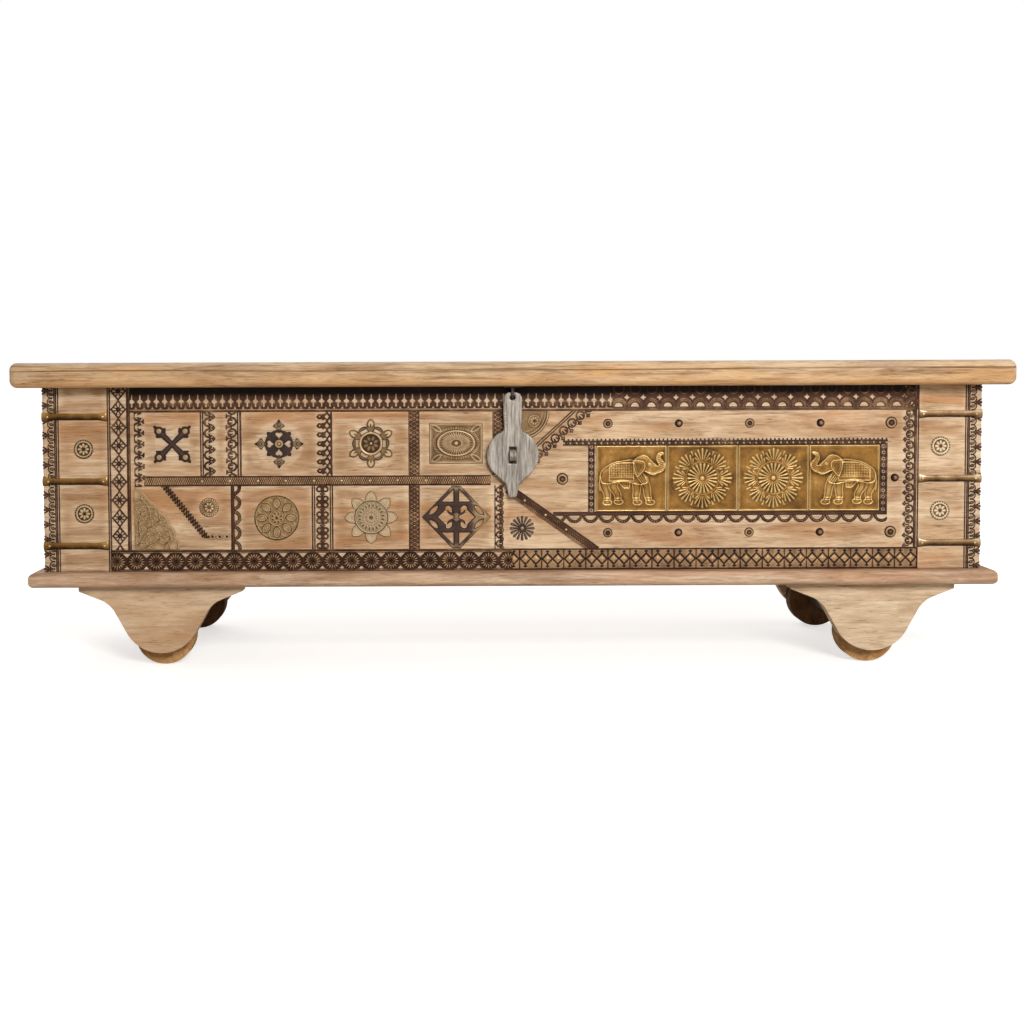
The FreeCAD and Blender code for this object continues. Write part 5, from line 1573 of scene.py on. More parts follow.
@dataclass
class Studio:
    """Camera, floor and soft light, in metres. A lamp has a name, place, width and power."""

    focal_pixels: float = 1253.8
    picture_pixels: float = 1024.0
    sensor: float = 36.0
    place: Place = (-0.0996, -2.0595, 0.4622)
    pitch_down: float = 2.499
    yaw_right: float = 0.130
    roll: float = 0.213
    shift: Point = (0.0613, -0.0905)
    floor_size: float = 60.0
    floor_colours: tuple[str, str] = ("d2cfca", "d6d4d0")
    floor_glow: Point = (0.62, 0.95)
    glow_reach: Point = (1.2, 3.2)
    sky_light: float = 0.17
    aim: Place = (0.0, 0.0, 0.3)
    lamps: tuple[tuple[str, Place, float, float], ...] = (
        ("key_lamp", (0.7, -3.0, 1.7), 0.9, 90.0),
        ("fill_lamp", (2.6, -2.0, 1.3), 2.0, 14.0),
        ("left_lamp", (-3.0, -0.6, 1.6), 2.0, 18.0),
        ("right_lamp", (3.0, 0.6, 1.4), 1.6, 22.0),
        ("back_lamp", (-0.8, 2.8, 2.0), 2.4, 68.0),
    )

    def build(self) -> None:
        """Makes the camera, floor, world and lamps."""
        bpy.context.scene.view_settings.view_transform = "Standard"
        self.add_camera()
        self.add_floor()
        self.add_world()
        for lamp in self.lamps:
            self.add_lamp(*lamp)

    def add_camera(self) -> None:
        """Sets the camera where the photograph was taken from."""
        lens = bpy.data.cameras.new("camera")
        lens.sensor_width = self.sensor
        lens.lens = self.focal_pixels * self.sensor / self.picture_pixels
        lens.shift_x, lens.shift_y = self.shift
        camera = bpy.data.objects.new("camera", lens)
        camera.location = self.place
        turns = (90.0 - self.pitch_down, self.roll, -self.yaw_right)
        camera.rotation_euler = [math.radians(turn) for turn in turns]
        bpy.context.scene.collection.objects.link(camera)
        bpy.context.scene.camera = camera

    def add_floor(self) -> None:
        """Lays a plain pale floor that the camera sees as white, apart from the trunk's shadow.

        The white glows more over the glow reach, far from the middle, where the lamps no longer reach.
        """
        edge = np.array([-0.5, 0.5]) * self.floor_size
        x, y = np.meshgrid(edge, edge, indexing="ij")
        points = np.stack([x.ravel(), y.ravel(), np.zeros(4)], axis=1)
        shader = Shader("floor")
        spot = shader.place((1.0, 1.0, 1.0))
        colour = shader.mix(shader.noise(spot, 3.0), *(paint(code) for code in self.floor_colours))
        away = shader.add("VectorMath", {0: spot}, operation="LENGTH").outputs["Value"]
        glow = shader.span(away, *self.glow_reach, *self.floor_glow)
        seen = shader.add("LightPath").outputs["Is Camera Ray"]
        finish = shader.finish(
            Base_Color=colour,
            Roughness=0.9,
            Specular_IOR_Level=0.1,
            Emission_Color=(1.0, 1.0, 1.0, 1.0),
            Emission_Strength=shader.maths("MULTIPLY", seen, glow),
        )
        floor = make_object("floor", Shell(points, [np.array([[0, 2, 3, 1]])], np.zeros(4)), finish)

    def add_world(self) -> None:
        """Surrounds the scene with white that the camera sees, and that lights more softly."""
        world = bpy.data.worlds.new("studio")
        world.use_nodes = True
        nodes, links = world.node_tree.nodes, world.node_tree.links
        rays = nodes.new("ShaderNodeLightPath")
        seen = nodes.new("ShaderNodeMath")
        seen.operation = "MAXIMUM"
        links.new(rays.outputs["Is Camera Ray"], seen.inputs[0])
        links.new(rays.outputs["Is Transmission Ray"], seen.inputs[1])
        strength = nodes.new("ShaderNodeMapRange")
        strength.inputs["To Min"].default_value = self.sky_light
        links.new(seen.outputs["Value"], strength.inputs["Value"])
        sky = nodes["Background"]
        sky.inputs["Color"].default_value = (1.0, 1.0, 1.0, 1.0)
        links.new(strength.outputs["Result"], sky.inputs["Strength"])
        bpy.context.scene.world = world

    def add_lamp(self, name: str, place: Place, size: float, power: float) -> None:
        """Adds a square lamp that looks at the middle of the trunk.

        Args:
            name: the lamp's name.
            place: where it stands.
            size: its width.
            power: its power in watts.
        """
        lamp = bpy.data.lights.new(name, "AREA")
        lamp.size = size
        lamp.energy = power
        holder = bpy.data.objects.new(name, lamp)
        holder.location = place
        x, y, z = np.array(self.aim) - np.array(place)
        pitch = math.pi / 2 + math.atan2(z, math.hypot(x, y))
        holder.rotation_euler = (pitch, 0.0, math.atan2(-x, y))
        bpy.context.scene.collection.objects.link(holder)


@dataclass
class Woodwork:
    """Boards, lid, base moulding, brackets and wheels.

    Joints are heights in metres. Wax fades over the halo round each fitting, and a darker ring lies
    beyond it, stronger to the left of the ring's border than to the right.
    """

    shop: Workshop
    back_joints: tuple[float, ...] = (0.243, 0.331)
    side_joints: tuple[float, ...] = (0.292,)
    planing_cell: float = 3.0
    halo: float = 3.0
    halo_strength: float = 0.5
    round_share: float = 0.47
    round_slope: float = 0.75
    dark_ring_place: float = 13.0
    dark_ring_spread: float = 9.0
    dark_ring_border: float = 20.0
    dark_ring_left: float = 0.6
    dark_ring_right: float = 0.12

    def build(self) -> None:
        """Dresses every wooden node, and makes the front board with wax round its fittings."""
        self.level_boards()
        self.lid()
        self.side_boards()
        self.wheels()
        self.front_board()

    def level_boards(self) -> None:
        """Dresses the boards, rails and brackets whose grain runs along the front."""
        boards = ["front_rail", "back_rail", "back_board", "bottom_board"]
        brackets = [f"{end}_{side}_bracket" for end in ("front", "back") for side in ("left", "right")]
        board_look, bracket_look = ("c6a487", "9a7659", 0.6), ("dcc3a4", "b69877", 0.4)
        for step, node in enumerate(boards + brackets):
            pale, tan, streaks = bracket_look if node in brackets else board_look
            joints = self.back_joints if node == "back_board" else ()
            wood = WoodFinish("limed_" + node, Grain.ALONG_X, 0.37 * step, pale, tan, amber_share=0.4,
                              streak_share=streaks, joints=joints, joint_axis="Z")
            self.shop.dress(node, wood)

    def lid(self) -> None:
        """Dresses the lid's planks: amber below, a painted highlight along the top edge, dark where
        planks meet.
        """
        bottom, top = (corner.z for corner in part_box("front_lid_plank"))
        glow = (bottom + 2 * MM, bottom + 0.55 * (top - bottom))
        painted_highlight_band = (top - 11 * MM, top - MM)
        half_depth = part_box("back_lid_plank")[1].y
        for step, place in enumerate(("front", "middle", "back")):
            low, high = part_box(f"{place}_lid_plank")
            joints = tuple(y for y in (low.y, high.y) if abs(y) < 0.9 * half_depth)
            wood = WoodFinish(f"limed_{place}_lid", Grain.ALONG_X, 5.3 + step, "d0b28c", "a5815e",
                              "cf9a5f", streak_share=0.9, glow=glow, painted_highlight_band=painted_highlight_band, joints=joints)
            self.shop.dress(f"{place}_lid_plank", wood)

    def side_boards(self) -> None:
        """Dresses the pieces whose grain runs from front to back, and the posts inside."""
        nodes = ("left_board", "right_board", "left_rail", "right_rail", "lid_battens")
        for step, node in enumerate(nodes):
            joints = self.side_joints if node.endswith("board") else ()
            wood = WoodFinish("limed_" + node, Grain.ALONG_Y, 0.53 * step, joints=joints,
                              joint_axis="Z")
            self.shop.dress(node, wood)
        self.shop.dress("corner_posts", WoodFinish("inner_posts", Grain.ALONG_Z))

    def wheels(self) -> None:
        """Dresses the front wheels with fresh wood, and the back ones with a darker copy of it, painted
        shade for the wheels set back under the trunk.
        """
        fresh = WoodFinish("front_wheel_wood", Grain.ALONG_Y, 1.9,
                           "c79e6b", "a97846", "9f6f3c", "553820", "cba878")
        # Painted shade: the back wheels get a darker copy of the wheel wood.
        worn = WoodFinish("back_wheel_wood", Grain.ALONG_Y, 2.7,
                          "7a5433", "56381f", "5c3c20", "2c1b0f", "80603f")
        for side in ("left", "right"):
            self.shop.dress(f"front_{side}_wheel", fresh)
            self.shop.dress(f"back_{side}_wheel", worn)

    def front_board(self) -> None:
        """Makes the front board: hand-planed hollows, and wax that fades away from each fitting."""
        low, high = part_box("front_board")
        thickness = (high.y - low.y) / MM
        panel = front_panel("front_board")
        shell = stamped(front_face(), panel, planed, self.planing_cell, thickness, -thickness)
        x, z = shell.points[:, 0] / MM, shell.points[:, 2] / MM
        away = np.full(x.shape, 1e9)
        for spot in self.square_fittings():
            aside = np.maximum(np.abs(x - spot.middle[0]) - spot.width / 2, 0.0)
            above = np.maximum(np.abs(z - spot.middle[1]) - spot.height / 2, 0.0)
            away = np.minimum(away, np.hypot(aside, above))
        for spot in self.round_fittings():
            reach = np.hypot(x - spot.middle[0], z - spot.middle[1])
            reach = reach - self.round_share * max(spot.width, spot.height)
            away = np.minimum(away, np.maximum(self.round_slope * reach, 0.0))
        # A darker ring beyond the wax, stronger to the left of the border than to the right.
        darkening = np.where(x < self.dark_ring_border, self.dark_ring_left, self.dark_ring_right)
        darkening = darkening * np.exp(-((away - self.dark_ring_place) / self.dark_ring_spread) ** 2)
        shell.patina = self.halo_strength * np.exp(-away / self.halo) - darkening
        finish = WoodFinish("limed_front_board", Grain.ALONG_X, 4.1, rub_attribute="wax")
        self.shop.fit("front_panel_board", [shell], finish, "limed_wood", ["front_board"], label="wax")

    def square_fittings(self) -> list[Panel]:
        """Rectangles of the strips and plates that lie on the front board."""
        nodes = ("upper_row_strips", "lower_row_strips", "corner_straps", "corner_edgings",
                 "left_border", "right_border", "top_border", "bottom_border", "middle_strip",
                 "oval_plate")
        return [spot for node in nodes for spot in islands(node)] + frame_panels()

    def round_fittings(self) -> list[Panel]:
        """Rectangles of the round pieces that lie on the front board."""
        nodes = ("small_rosettes", "panel_studs", "corner_medallions", "x_cross", "cross_flower",
                 "lobed_flower", "round_medallion")
        return [spot for node in nodes for spot in islands(node)]


def frame_panels(gap: float = 0.5, rise: float = 1.0, upper_reach: float = 4.0,
                 lower_reach: float = 19.0, left_band: Point = (11.6, 2.2)) -> list[Panel]:
    """Rectangles of the bands round the plates.

    Args:
        gap: space between the plates and the bands.
        rise: how far the upper band stands above its node.
        upper_reach: how far the upper band runs out to the left.
        lower_reach: how far the lower band does.
        left_band: distances of the left band's edges from the first plate.

    Returns:
        The bands above, below, left and right.
    """
    whole = front_panel("plate_frame")
    first, last = front_panel("left_elephant_plate"), front_panel("right_elephant_plate")
    above = Panel(whole.left - upper_reach, whole.right, first.top + gap, whole.top + rise)
    below = Panel(whole.left - lower_reach, whole.right, whole.bottom, first.bottom - gap)
    right = Panel(last.right + gap, whole.right, first.bottom, first.top)
    left = Panel(first.left - left_band[0], first.left - left_band[1], first.bottom, first.top)
    return [above, below, left, right]


def planed(x: Array, z: Array) -> Stamp:
    """A hand-planed surface: long shallow hollows up to a third of a millimetre deep."""
    hollow = np.sin(0.021 * x + 0.9 * np.sin(0.05 * z)) * np.sin(0.11 * z + 0.6 * np.sin(0.013 * x))
    return Stamp(solid(x), 0.15 * hollow - 0.16)


def reaching(panel: Panel) -> Panel:
    """A border's rectangle, carried up to the top of the front board."""
    return Panel(panel.left, panel.right, panel.bottom, front_panel("front_board").top - 0.3)


def moved(drawing: Drawing, down: float, back: float = 0.0) -> Drawing:
    """A strip's drawing, set lower in its panel and back along it."""
    return lambda along, across: drawing(along + back, across + down)


def upright(drawing: Drawing, way: int = 1) -> Drawing:
    """A strip's drawing, run upwards, with across towards the right, or the left if way is -1."""
    return lambda x, z: drawing(z, way * x)


def sized(drawing: Callable[..., Stamp], node: str) -> Drawing:
    """A plate's drawing, given half its node's width and height."""
    panel = front_panel(node)
    return partial(drawing, half_x=panel.width / 2, half_z=panel.height / 2)


def on_side(spots: Sequence[Panel], side: str) -> list[Panel]:
    """The rectangles that lie on the left or the right of the trunk."""
    return [spot for spot in spots if (spot.middle[0] > 0) == (side == "right")]


@dataclass
class Borders:
    """The four stamped borders round the front, and the strips between the cells.

    Each border's seam is where its two patterns meet. The strips are listed from left to
    right, each with the way that it faces.
    """

    shop: Workshop
    slot: str = "dark_stamped_brass"
    top_seam: float = 152.0
    bottom_seam: float = 0.0
    top_contrast: float = 0.9
    bottom_contrast: float = 0.5
    corner_step: float = 5.0
    daisy_place: float = -6.7
    diamond_drop: float = 3.0
    tile_shift: float = 12.2
    fret_contrast: float = 1.1
    fret_cell: float = 0.8
    long_cell: float = 0.94
    first_strip_drop: float = 16.0
    upper_strips: tuple[tuple[Drawing, int], ...] = (
        (CrescentRow(17.0, 6.1, 3.3, -2.4, 6.6, gap=1.8).draw, 1),
        (CrescentRow(16.6, 5.8, 3.0, 1.4, 9.0, ((-10.6, 0.9), (-7.2, 0.9)), 1.6).draw, 1),
        (CrescentRow(17.1, 5.8, 2.9, 2.2, 11.0, ((-10.4, 1.3), (-6.4, 1.0))).draw, -1),
        (pod_fret, 1),
        (braid, 1),
        (braid, 1),
    )
    lower_strips: tuple[tuple[Drawing, int], ...] = (
        (partial(scallops, pitch=23.0, radius=9.0, base=-4.4, band=5.2), 1),
        (four_ring_strip, 1),
        (braid, 1),
        (CrescentRow(13.6, 4.5, 2.2, 1.8, 6.6, ((-8.4, 0.6), (-5.0, 0.7))).draw, 1),
    )
    horseshoes: CrescentRow = CrescentRow(16.2, 5.2, 2.7, 1.2, 8.8, ((-6.9, 1.9), (-11.2, 0.8)))

    def build(self) -> None:
        """Stamps every border and strip."""
        top, bottom = front_panel("top_border"), front_panel("bottom_border")
        frets = [moved(d, (reaching(top).top - top.top) / 2) for d in (pendant_fret, fan_fret)]
        self.pair("top_border", reaching(top), self.top_seam, frets, self.top_contrast)
        left = reaching(front_panel("left_border"))
        under = Panel(left.left + self.corner_step, bottom.right, bottom.bottom, bottom.top)
        above = Panel(left.left, left.right, bottom.top, left.top)
        daisies = moved(daisy_border, 0.0, (under.left + self.bottom_seam) / 2 - self.daisy_place)
        tiles = moved(lattice_border, 0.0, self.tile_shift)
        self.pair("bottom_border", under, self.bottom_seam, [daisies, tiles], self.bottom_contrast)
        diamonds = moved(diamond_fret, 0.0, (bottom.top - left.bottom) / 2 + self.diamond_drop)
        rail = Panel(left.left, under.left - 0.2, left.bottom, bottom.top)
        edge = self.fret(rail, upright(edge_rail))
        self.one("left_border", [self.fret(above, upright(diamonds)), edge])
        right = reaching(front_panel("right_border"))
        self.one("right_border", [self.fret(right, upright(self.horseshoes.draw, -1))])
        middle = front_panel("middle_strip")
        self.one("middle_strip", [stamped(front_face(), middle, punched, self.fret_cell, contrast=0.5)])
        self.row("upper_row_strips", self.upper_strips, self.first_strip_drop)
        self.row("lower_row_strips", self.lower_strips)

    def fret(self, panel: Panel, drawing: Drawing) -> Shell:
        """Stamps a pierced strip, whose thin lines stay dark."""
        return stamped(front_face(), panel, drawing, self.fret_cell, contrast=self.fret_contrast)

    def one(self, node: str, shells: Sequence[Shell]) -> None:
        """Sets shells in the place of a node."""
        self.shop.fit("stamped_" + node, shells, DARK_BRASS, self.slot, [node])

    def pair(self, node: str, whole: Panel, seam: float, drawings: Sequence[Drawing],
             contrast: float) -> None:
        """Stamps a level border in two patterns that meet at a seam."""
        left = Panel(whole.left, seam, whole.bottom, whole.top)
        right = Panel(seam, whole.right, whole.bottom, whole.top)
        self.one(node, [stamped(front_face(), part, drawing, self.long_cell, contrast=contrast)
                        for part, drawing in zip((left, right), drawings)])

    def row(self, node: str, drawings: Sequence[tuple[Drawing, int]], drop: float = 0.0) -> None:
        """Stamps a row of upright strips, one for each solid of the node."""
        first, *others = sorted(islands(node), key=lambda p: p.left)
        panels = [Panel(first.left, first.right, first.bottom - drop, first.top), *others]
        self.one(node, [self.fret(p, upright(d, way)) for p, (d, way) in zip(panels, drawings)])


@dataclass
class CellOrnaments:
    """The flowers, crosses and small plates in the cells, and the round pieces at the corners."""

    shop: Workshop
    cell: float = 0.7
    medallion_cell: float = 0.6

    def build(self) -> None:
        """Stamps each ornament in the place of its node."""
        self.one("x_cross", OXIDISED, "oxidised_brass", budded_cross)
        self.one("cross_flower", OXIDISED, "oxidised_brass", heart_flower)
        self.one("lobed_flower", KHAKI, "khaki_brass", arched_flower)
        self.one("round_medallion", WORN_KHAKI, "khaki_brass", lotus_round, 0.4)
        self.one("sunflower", LIMED_BRASS, "khaki_brass", sunflower, 0.4)
        for node, finish, slot, drawing, contrast in (
            ("oval_plate", KHAKI, "khaki_brass", oval_plate, 0.6),
            ("leaf_plate", LEAF_BRASS, "khaki_brass", foliage, 0.36),
            ("lattice_diamond", OXIDISED, "oxidised_brass", lattice_diamond, 0.6),
        ):
            self.one(node, finish, slot, sized(drawing, node), contrast)
        quarter = partial(quarter_round, size=front_panel("quarter_plate").width)
        self.one("quarter_plate", KHAKI, "khaki_brass", quarter)
        rosettes = [stamped(front_face(), p.grown(0.5), d, self.cell, contrast=0.6)
                    for p, d in zip(islands("small_rosettes"), (beaded_rosette, starburst))]
        self.shop.fit("beaded_rosette", rosettes[:1], KHAKI, "khaki_brass", ["small_rosettes"])
        self.shop.fit("starburst", rosettes[1:], OXIDISED, "khaki_brass")
        spots = islands("corner_medallions")
        for side, finish in (("left", KHAKI), ("right", PALE_KHAKI)):
            rounds = [stamped(front_face(), p.grown(0.5), medallion, self.medallion_cell, contrast=0.5)
                      for p in on_side(spots, side)]
            nodes = ["corner_medallions"] if side == "left" else []
            self.shop.fit(f"stamped_{side}_medallions", rounds, finish, "khaki_brass", nodes)

    def one(self, node: str, finish: MetalFinish, slot: str, drawing: Drawing,
            contrast: float = 0.6) -> None:
        """Stamps one ornament over its node's rectangle."""
        panel = front_panel(node).grown(2.0)
        shell = stamped(front_face(), panel, drawing, self.cell, contrast=contrast)
        self.shop.fit("stamped_" + node, [shell], finish, slot, [node])


@dataclass
class Diagonals:
    """The slanting strips: rope with beads, hooked rings by the hasp, and the nailed strip below."""

    shop: Workshop
    rope_ends: tuple[Point, Point] = ((-527.5, 279.3), (-466.5, 202.3))
    hook_ends: tuple[Point, Point] = ((43.1, 333.0), (109.4, 393.8))
    band_ends: tuple[Point, Point] = ((5.6, 265.0), (115.4, 186.6))
    rope_width: float = 10.6
    rope_overrun: float = 2.0
    hook_width: float = 29.0
    band_width: float = 15.0
    cell: float = 0.8
    contrast: float = 0.9
    hooks: CrescentRow = CrescentRow(17.2, 6.0, 2.4, 2.4, 10.6, ((-10.6, 0.9), (-7.2, 0.9)))
    bead_places: tuple[float, ...] = (-456.1, -445.1, -434.1)
    bead_radii: tuple[float, ...] = (4.4, 4.3, 3.6, 2.6, 1.8, 0.8)
    bead_heights: tuple[float, ...] = (0.0, 1.4, 2.6, 2.0, 1.6, 1.8)
    bead_tones: tuple[float, ...] = (0.1, 0.3, 0.9, 0.8, 0.1, 0.05)

    def build(self) -> None:
        """Makes the three strips in the place of their node, and the loose beads beside the first."""
        low, high = front_panel("bottom_border").top, front_panel("top_border").bottom
        rope_end, rope_start = self.rope_ends[1][1], front_panel("middle_strip").bottom

        def hooks(along: Array, across: Array) -> Stamp:
            """The hooked rings, with their buds on the lower side."""
            return self.hooks.draw(along, -across)

        shells = [
            self.strip(self.rope_ends, self.rope_width, rope, rope_end - self.rope_overrun, rope_start),
            self.strip(self.hook_ends, self.hook_width, hooks, low, high),
            self.strip(self.band_ends, self.band_width, nailed_band, low, high),
        ]
        slot = "dark_stamped_brass"
        self.shop.fit("stamped_diagonal_strips", shells, DARK_BRASS, slot, ["diagonal_strips"])
        profile = [np.array(row) for row in (self.bead_radii, self.bead_heights)]
        tones = np.array(self.bead_tones)
        beads = [turned(front_face(), (x, rope_end), *profile, 18, tones) for x in self.bead_places]
        self.shop.fit("loose_beads", beads, KHAKI, "khaki_brass")

    def strip(self, ends: tuple[Point, Point], width: float, drawing: Drawing, low: float,
              high: float) -> Shell:
        """Stamps a slanting strip, cut level at both ends.

        Args:
            ends: its first and last middle points.
            width: its width.
            drawing: its pattern.
            low: height of the lower cut.
            high: height of the upper cut.

        Returns:
            The strip.
        """
        (x0, z0), (x1, z1) = ends
        length, turn = math.hypot(x1 - x0, z1 - z0), math.atan2(z1 - z0, x1 - x0)
        middle = ((x0 + x1) / 2, (z0 + z1) / 2)

        def cut(along: Array, across: Array) -> Stamp:
            """The pattern, less what lies beyond the cuts."""
            stamp = drawing(along, across)
            level = middle[1] + along * math.sin(turn) + across * math.cos(turn)
            inside = np.minimum.reduce([stamp.inside, level - low, high - level])
            return Stamp(inside, stamp.height, stamp.rub)

        base = front_face()
        face = Face((middle[0], base.origin[1], middle[1]), base.out, math.degrees(turn))
        half = length / 2 + width
        panel = Panel(-half, half, -width / 2, width / 2)
        return stamped(face, panel, cut, self.cell, contrast=self.contrast)


@dataclass
class PicturePlates:
    """Four embossed plates inside a frame of bands."""

    shop: Workshop
    plate_cell: float = 0.7
    plate_contrast: float = 0.6
    band_contrast: float = 1.0

    def build(self) -> None:
        """Stamps the plates and their frame."""
        for node, drawing in (
            ("left_elephant_plate", partial(elephant, facing=1)),
            ("left_mandala_plate", mandala),
            ("right_mandala_plate", mandala),
            ("right_elephant_plate", partial(elephant, facing=-1, cloth_half=24.0)),
        ):
            shell = stamped(front_face(), front_panel(node), sized(drawing, node), self.plate_cell,
                            contrast=self.plate_contrast)
            self.shop.fit("embossed_" + node, [shell], GOLD, "gold_brass", [node])
        self.frame_bands()

    def frame_bands(self) -> None:
        """Stamps the bead band over the plates, the scallops under them and the strips beside them."""
        hanging = partial(scallops, pitch=24.6, radius=10.4, base=-4.0)
        chain = upright(chain_strip)
        bands = ((bead_band, 0.7), (lambda x, z: hanging(x, -z), 0.8), (chain, 0.8), (chain, 0.8))
        shells = [stamped(front_face(), panel, drawing, cell, contrast=self.band_contrast)
                  for panel, (drawing, cell) in zip(frame_panels(), bands)]
        self.shop.fit("stamped_plate_frame", shells, DARK_BRASS, "dark_stamped_brass", ["plate_frame"])


@dataclass
class CornerFittings:
    """Edgings and straps that wrap round the two front corners."""

    shop: Workshop
    edging_width: float = 24.6
    edging_cell: float = 0.8
    front_sheet: float = 0.9
    side_sheet: float = 0.3
    strap_end: float = 7.0
    strap_waist: float = 5.0
    strap_rise: float = 3.4
    end_rise: float = 1.8
    flare: float = 15.0
    leg_steps: int = 40
    corner_steps: int = 7
    section_steps: int = 11

    def build(self) -> None:
        """Stamps the edgings, and bends the straps."""
        low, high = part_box("front_board")
        height = reaching(front_panel("corner_edgings"))
        left_x, right_x, front_y = low.x / MM, high.x / MM, low.y / MM
        front, width = front_face(), self.edging_width
        left_side = Face((left_x, 0.0, 0.0), (-1.0, 0.0, 0.0))
        right_side = Face((right_x, 0.0, 0.0), (1.0, 0.0, 0.0))
        drawn = partial(flame_edging, half=width / 2)
        shells = []
        for face, start, way, sheet in (
            (front, left_x, -1, self.front_sheet),
            (front, right_x - width, 1, self.front_sheet),
            (left_side, -front_y - width, 1, self.side_sheet),
            (right_side, front_y, -1, self.side_sheet),
        ):
            panel = Panel(start, start + width, height.bottom, height.top)
            drawing = upright(drawn, way)
            shells.append(stamped(face, panel, drawing, self.edging_cell, sheet, contrast=1.0))
        slot = "dark_stamped_brass"
        self.shop.fit("stamped_corner_edgings", shells, DARK_BRASS, slot, ["corner_edgings"])
        spots = islands("corner_straps")
        for side, finish, corner in (("left", STRAP, left_x), ("right", PALE_STRAP, right_x)):
            straps = [self.strap(spot, corner, front_y) for spot in on_side(spots, side)]
            nodes = ["corner_straps"] if side == "left" else []
            self.shop.fit(f"bent_{side}_straps", straps, finish, "gold_brass", nodes)

    def strap(self, spot: Panel, corner: float, front_y: float) -> Shell:
        """Carries a half-round section along the front, round the corner and back along the side.

        The section is flat and wide at both ends of each leg, and narrow and high between.

        Args:
            spot: the strap's rectangle from the front.
            corner: the side face of the trunk that it bends round to.
            front_y: the front face.

        Returns:
            The closed strap.
        """
        way = -1 if corner < 0 else 1
        leg = abs(corner - (spot.right if way < 0 else spot.left))
        run = np.linspace(0.0, leg, self.leg_steps)
        turn = np.linspace(0.0, np.pi / 2, self.corner_steps)
        still, bend = np.zeros(len(run)), np.zeros(len(turn))
        inward = np.concatenate([leg - run, bend, still])
        behind = np.concatenate([still, bend, run])
        angle = np.concatenate([still, turn, still + np.pi / 2])
        from_end = np.concatenate([run, bend + leg, run[::-1]])
        near_end = np.minimum(from_end, np.concatenate([leg - run, bend, run]))
        flare = raised(self.flare - near_end, self.flare, 1.0)
        half = self.strap_waist + (self.strap_end - self.strap_waist) * flare
        rise = self.strap_rise + (self.end_rise - self.strap_rise) * flare
        sweep = np.linspace(0.0, np.pi, self.section_steps)
        up = half[:, None] * np.cos(sweep)
        out = rise[:, None] * np.sin(sweep) ** 0.6
        x = corner - way * inward[:, None] + way * np.sin(angle)[:, None] * out
        y = front_y + behind[:, None] - np.cos(angle)[:, None] * out
        z = spot.middle[1] + up
        points = np.stack([x, y, z], axis=-1).reshape(-1, 3) * MM
        number = np.arange(len(points)).reshape(up.shape)
        around = np.roll(number, -1, axis=1)
        quads = np.stack([number[:-1], number[1:], around[1:], around[:-1]], axis=-1).reshape(-1, 4)
        faces = [quads, number[0][None], number[-1][::-1][None]]
        faces = faces if way < 0 else [f[:, ::-1] for f in faces]
        # Painted highlight and shade: the strap is paler along its upper edge and darker along its
        # lower edge, and paler towards its flared ends.
        patina = (0.42 + 0.4 * np.cos(sweep) + 0.3 * (flare[:, None] - 0.3)).ravel()
        return Shell(points, faces, patina)


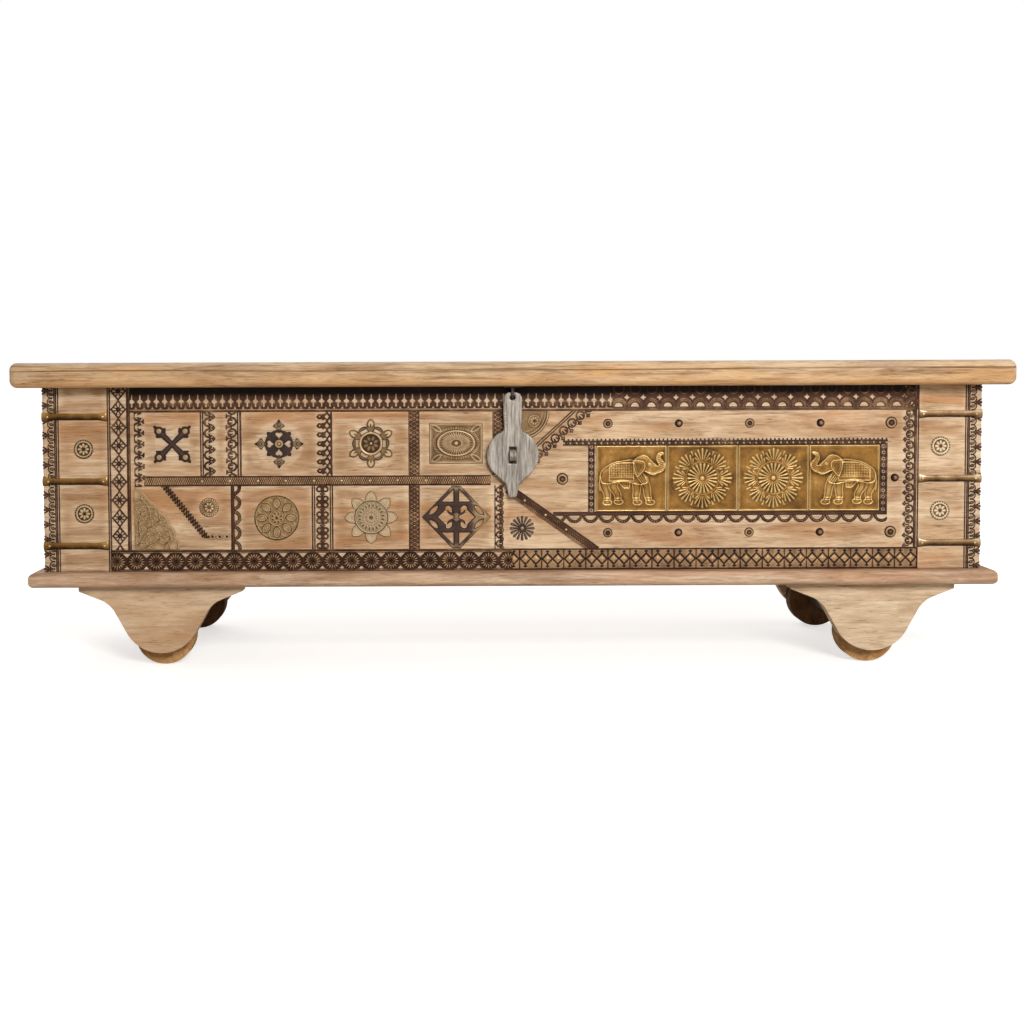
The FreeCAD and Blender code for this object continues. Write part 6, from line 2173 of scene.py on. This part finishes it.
@dataclass
class Studs:
    """Ringed and domed studs on the plain panel, and the nail heads along strips and straps.

    Heads are larger than their solids: the domed ones a little, the ringed ones more, and most
    of all those outside the fine zone. A profile has shares of the radius, heights and tones.
    """

    shop: Workshop
    domed: tuple[int, ...] = (1, 3, 6, 8, 10)
    fine_zone: Point = (100.0, 540.0)
    domed_share: float = 1.22
    ringed_share: float = 1.45
    large_share: float = 1.8
    stud_sides: int = 28
    # Dome tones from the rim up to the top: the pale top is a painted highlight.
    dome_tones_with_highlight: tuple[float, ...] = (0.1, 0.1, 0.11, 0.13, 0.2, 0.42, 0.6, 0.7, 0.74)
    ring_shares: tuple[float, ...] = (1.0, 0.98, 0.88, 0.8, 0.68, 0.56, 0.46, 0.36, 0.24, 0.06)
    ring_heights: tuple[float, ...] = (0.0, 0.9, 1.5, 1.1, 1.0, 1.2, 2.0, 2.3, 2.0, 2.0)
    ring_tones: tuple[float, ...] = (0.1, 0.12, 0.3, 0.7, 0.86, 0.84, 0.25, 0.2, 0.5, 0.6)
    nail_radius: float = 2.1
    nail_rise: float = 1.3
    nail_sides: int = 12
    row_start: float = -471.0
    row_end_gap: float = 20.0
    row_pitch: float = 42.4
    row_lift: float = 1.2
    band_nails: tuple[Point, ...] = ((18.6, 255.7), (50.0, 233.3), (81.4, 210.9))
    band_lift: float = 1.3
    strap_insets: Point = (6.0, 11.0)
    strap_lift: float = 2.2

    def build(self) -> None:
        """Turns the studs and the nails."""
        ringed, domed = [], []
        for step, spot in enumerate(islands("panel_studs")):
            if step in self.domed:
                domed.append(self.dome(spot.middle, spot.width / 2 * self.domed_share))
                continue
            is_fine = self.fine_zone[0] <= spot.middle[0] <= self.fine_zone[1]
            share = self.ringed_share if is_fine else self.large_share
            ringed.append(self.ring(spot.middle, spot.width / 2 * share))
        heads = ringed + domed
        self.shop.fit("panel_stud_heads", heads, DARK_BRASS, "dark_stamped_brass", ["panel_studs"])
        nails = [self.nail(x, z, lift) for x, z, lift in self.nail_places()]
        self.shop.fit("nail_heads", nails, NAIL, "gold_brass")

    def dome(self, centre: Point, radius: float) -> Shell:
        """Turns a plain dome: most of a quarter circle, a little flattened."""
        angle = np.linspace(0.0, np.pi / 2 * 0.93, len(self.dome_tones_with_highlight))
        profile = radius * np.cos(angle), 0.8 * radius * np.sin(angle)
        return turned(front_face(), centre, *profile, self.stud_sides, np.array(self.dome_tones_with_highlight))

    def ring(self, centre: Point, radius: float) -> Shell:
        """Turns a collar with a hollow and a pip."""
        profile = radius * np.array(self.ring_shares), np.array(self.ring_heights)
        return turned(front_face(), centre, *profile, self.stud_sides, np.array(self.ring_tones))

    def nail(self, x: float, z: float, lift: float) -> Shell:
        """Turns one low round nail head on a shank from the board to its place on the metal."""
        angle = np.linspace(0.0, np.pi / 2 * 0.9, 5)
        radii = np.concatenate([[self.nail_radius], self.nail_radius * np.cos(angle)])
        heights = np.concatenate([[0.0], lift + self.nail_rise * np.sin(angle)])
        return turned(front_face(), (x, z), radii, heights, self.nail_sides)

    def nail_places(self) -> list[Place]:
        """Lists where nails stand: along the middle strip, the nailed band and both ends of each strap.

        Returns:
            Distance across, height and lift of each.
        """
        strip = front_panel("middle_strip")
        row = np.arange(self.row_start, strip.right - self.row_end_gap, self.row_pitch)
        places = [(x, strip.middle[1], self.row_lift) for x in row]
        places += [(x, z, self.band_lift) for x, z in self.band_nails]
        inner, outer = self.strap_insets
        for spot in islands("corner_straps"):
            if spot.middle[0] < 0:
                ends = (spot.right - inner, spot.left + outer)
            else:
                ends = (spot.left + inner, spot.right - outer)
            places += [(x, spot.middle[1], self.strap_lift) for x in ends]
        return places


@dataclass
class HaspSet:
    """The hasp with its eye and staple, and the hinges and axles.

    Screws are placed across each hinge leaf and up from its free end.
    """

    shop: Workshop
    hasp_cell: float = 0.8
    leaf_thickness: float = 2.5
    screw_radii: tuple[float, ...] = (3.6, 3.4, 2.4, 1.0, 0.5)
    screw_heights: tuple[float, ...] = (0.0, 0.4, 0.9, 1.0, 0.3)
    screw_places: tuple[Point, ...] = ((-27.0, 9.0), (0.0, 18.0), (27.0, 9.0))

    def build(self) -> None:
        """Makes the hasp plate, and dresses the steel nodes."""
        panel = front_panel("hasp")
        low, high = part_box("hasp")
        face = front_face()
        lift = face.origin[1] - high.y / MM
        slot_z = sum(c.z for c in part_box("staple")) / 2 / MM
        drawn = partial(hasp_plate, half_z=panel.height / 2, disc_z=slot_z - panel.middle[1])
        plate = stamped(face, panel.grown(1.6), drawn, self.hasp_cell, (high.y - low.y) / MM, lift)
        self.shop.fit("hasp_plate", [plate], ZINC, "galvanised_steel", ["hasp"], "hasp")
        self.shop.dress("staple", ZINC)
        # Painted shade: the hasp eye is dressed dark for the shadow under the lid.
        self.shop.dress("hasp_eye", HASP_EYE_SHADE)
        for node in ("carcass_hinge_leaves", "lid_hinge_leaves", "hinge_pins", "left_axle",
                     "right_axle", "axle_washers"):
            self.shop.dress(node, HINGE_STEEL)
        for body, node in (("carcass", "carcass_hinge_leaves"), ("lid", "lid_hinge_leaves")):
            self.shop.fit(f"{body}_hinge_screws", self.screws(node), ZINC, "hinge_steel", (), body)

    def screws(self, node: str) -> list[Shell]:
        """Turns the screw heads of each hinge leaf of a node, the middle one nearer the knuckles.

        Args:
            node: the leaves' node.

        Returns:
            The heads.
        """
        back = Face((0.0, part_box(node)[0].y / MM + self.leaf_thickness, 0.0), (0.0, 1.0, 0.0))
        profile = np.array(self.screw_radii), np.array(self.screw_heights)
        shells = []
        for spot in islands(node):
            way = 1 if spot.middle[1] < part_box("front_board")[1].z / MM else -1
            end = spot.bottom if way > 0 else spot.top
            for across, rise in self.screw_places:
                centre = (across - spot.middle[0], end + way * rise)
                shells.append(turned(back, centre, *profile, 16))
        return shells


def main() -> None:
    """Builds every sub-assembly in order."""
    logging.basicConfig(level=logging.INFO, format="%(message)s")
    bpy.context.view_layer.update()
    Studio().build()
    shop = Workshop()
    for part in (Woodwork, Borders, CellOrnaments, Diagonals, PicturePlates, CornerFittings, Studs,
                 HaspSet):
        part(shop).build()


if __name__ == "__main__":
    main()
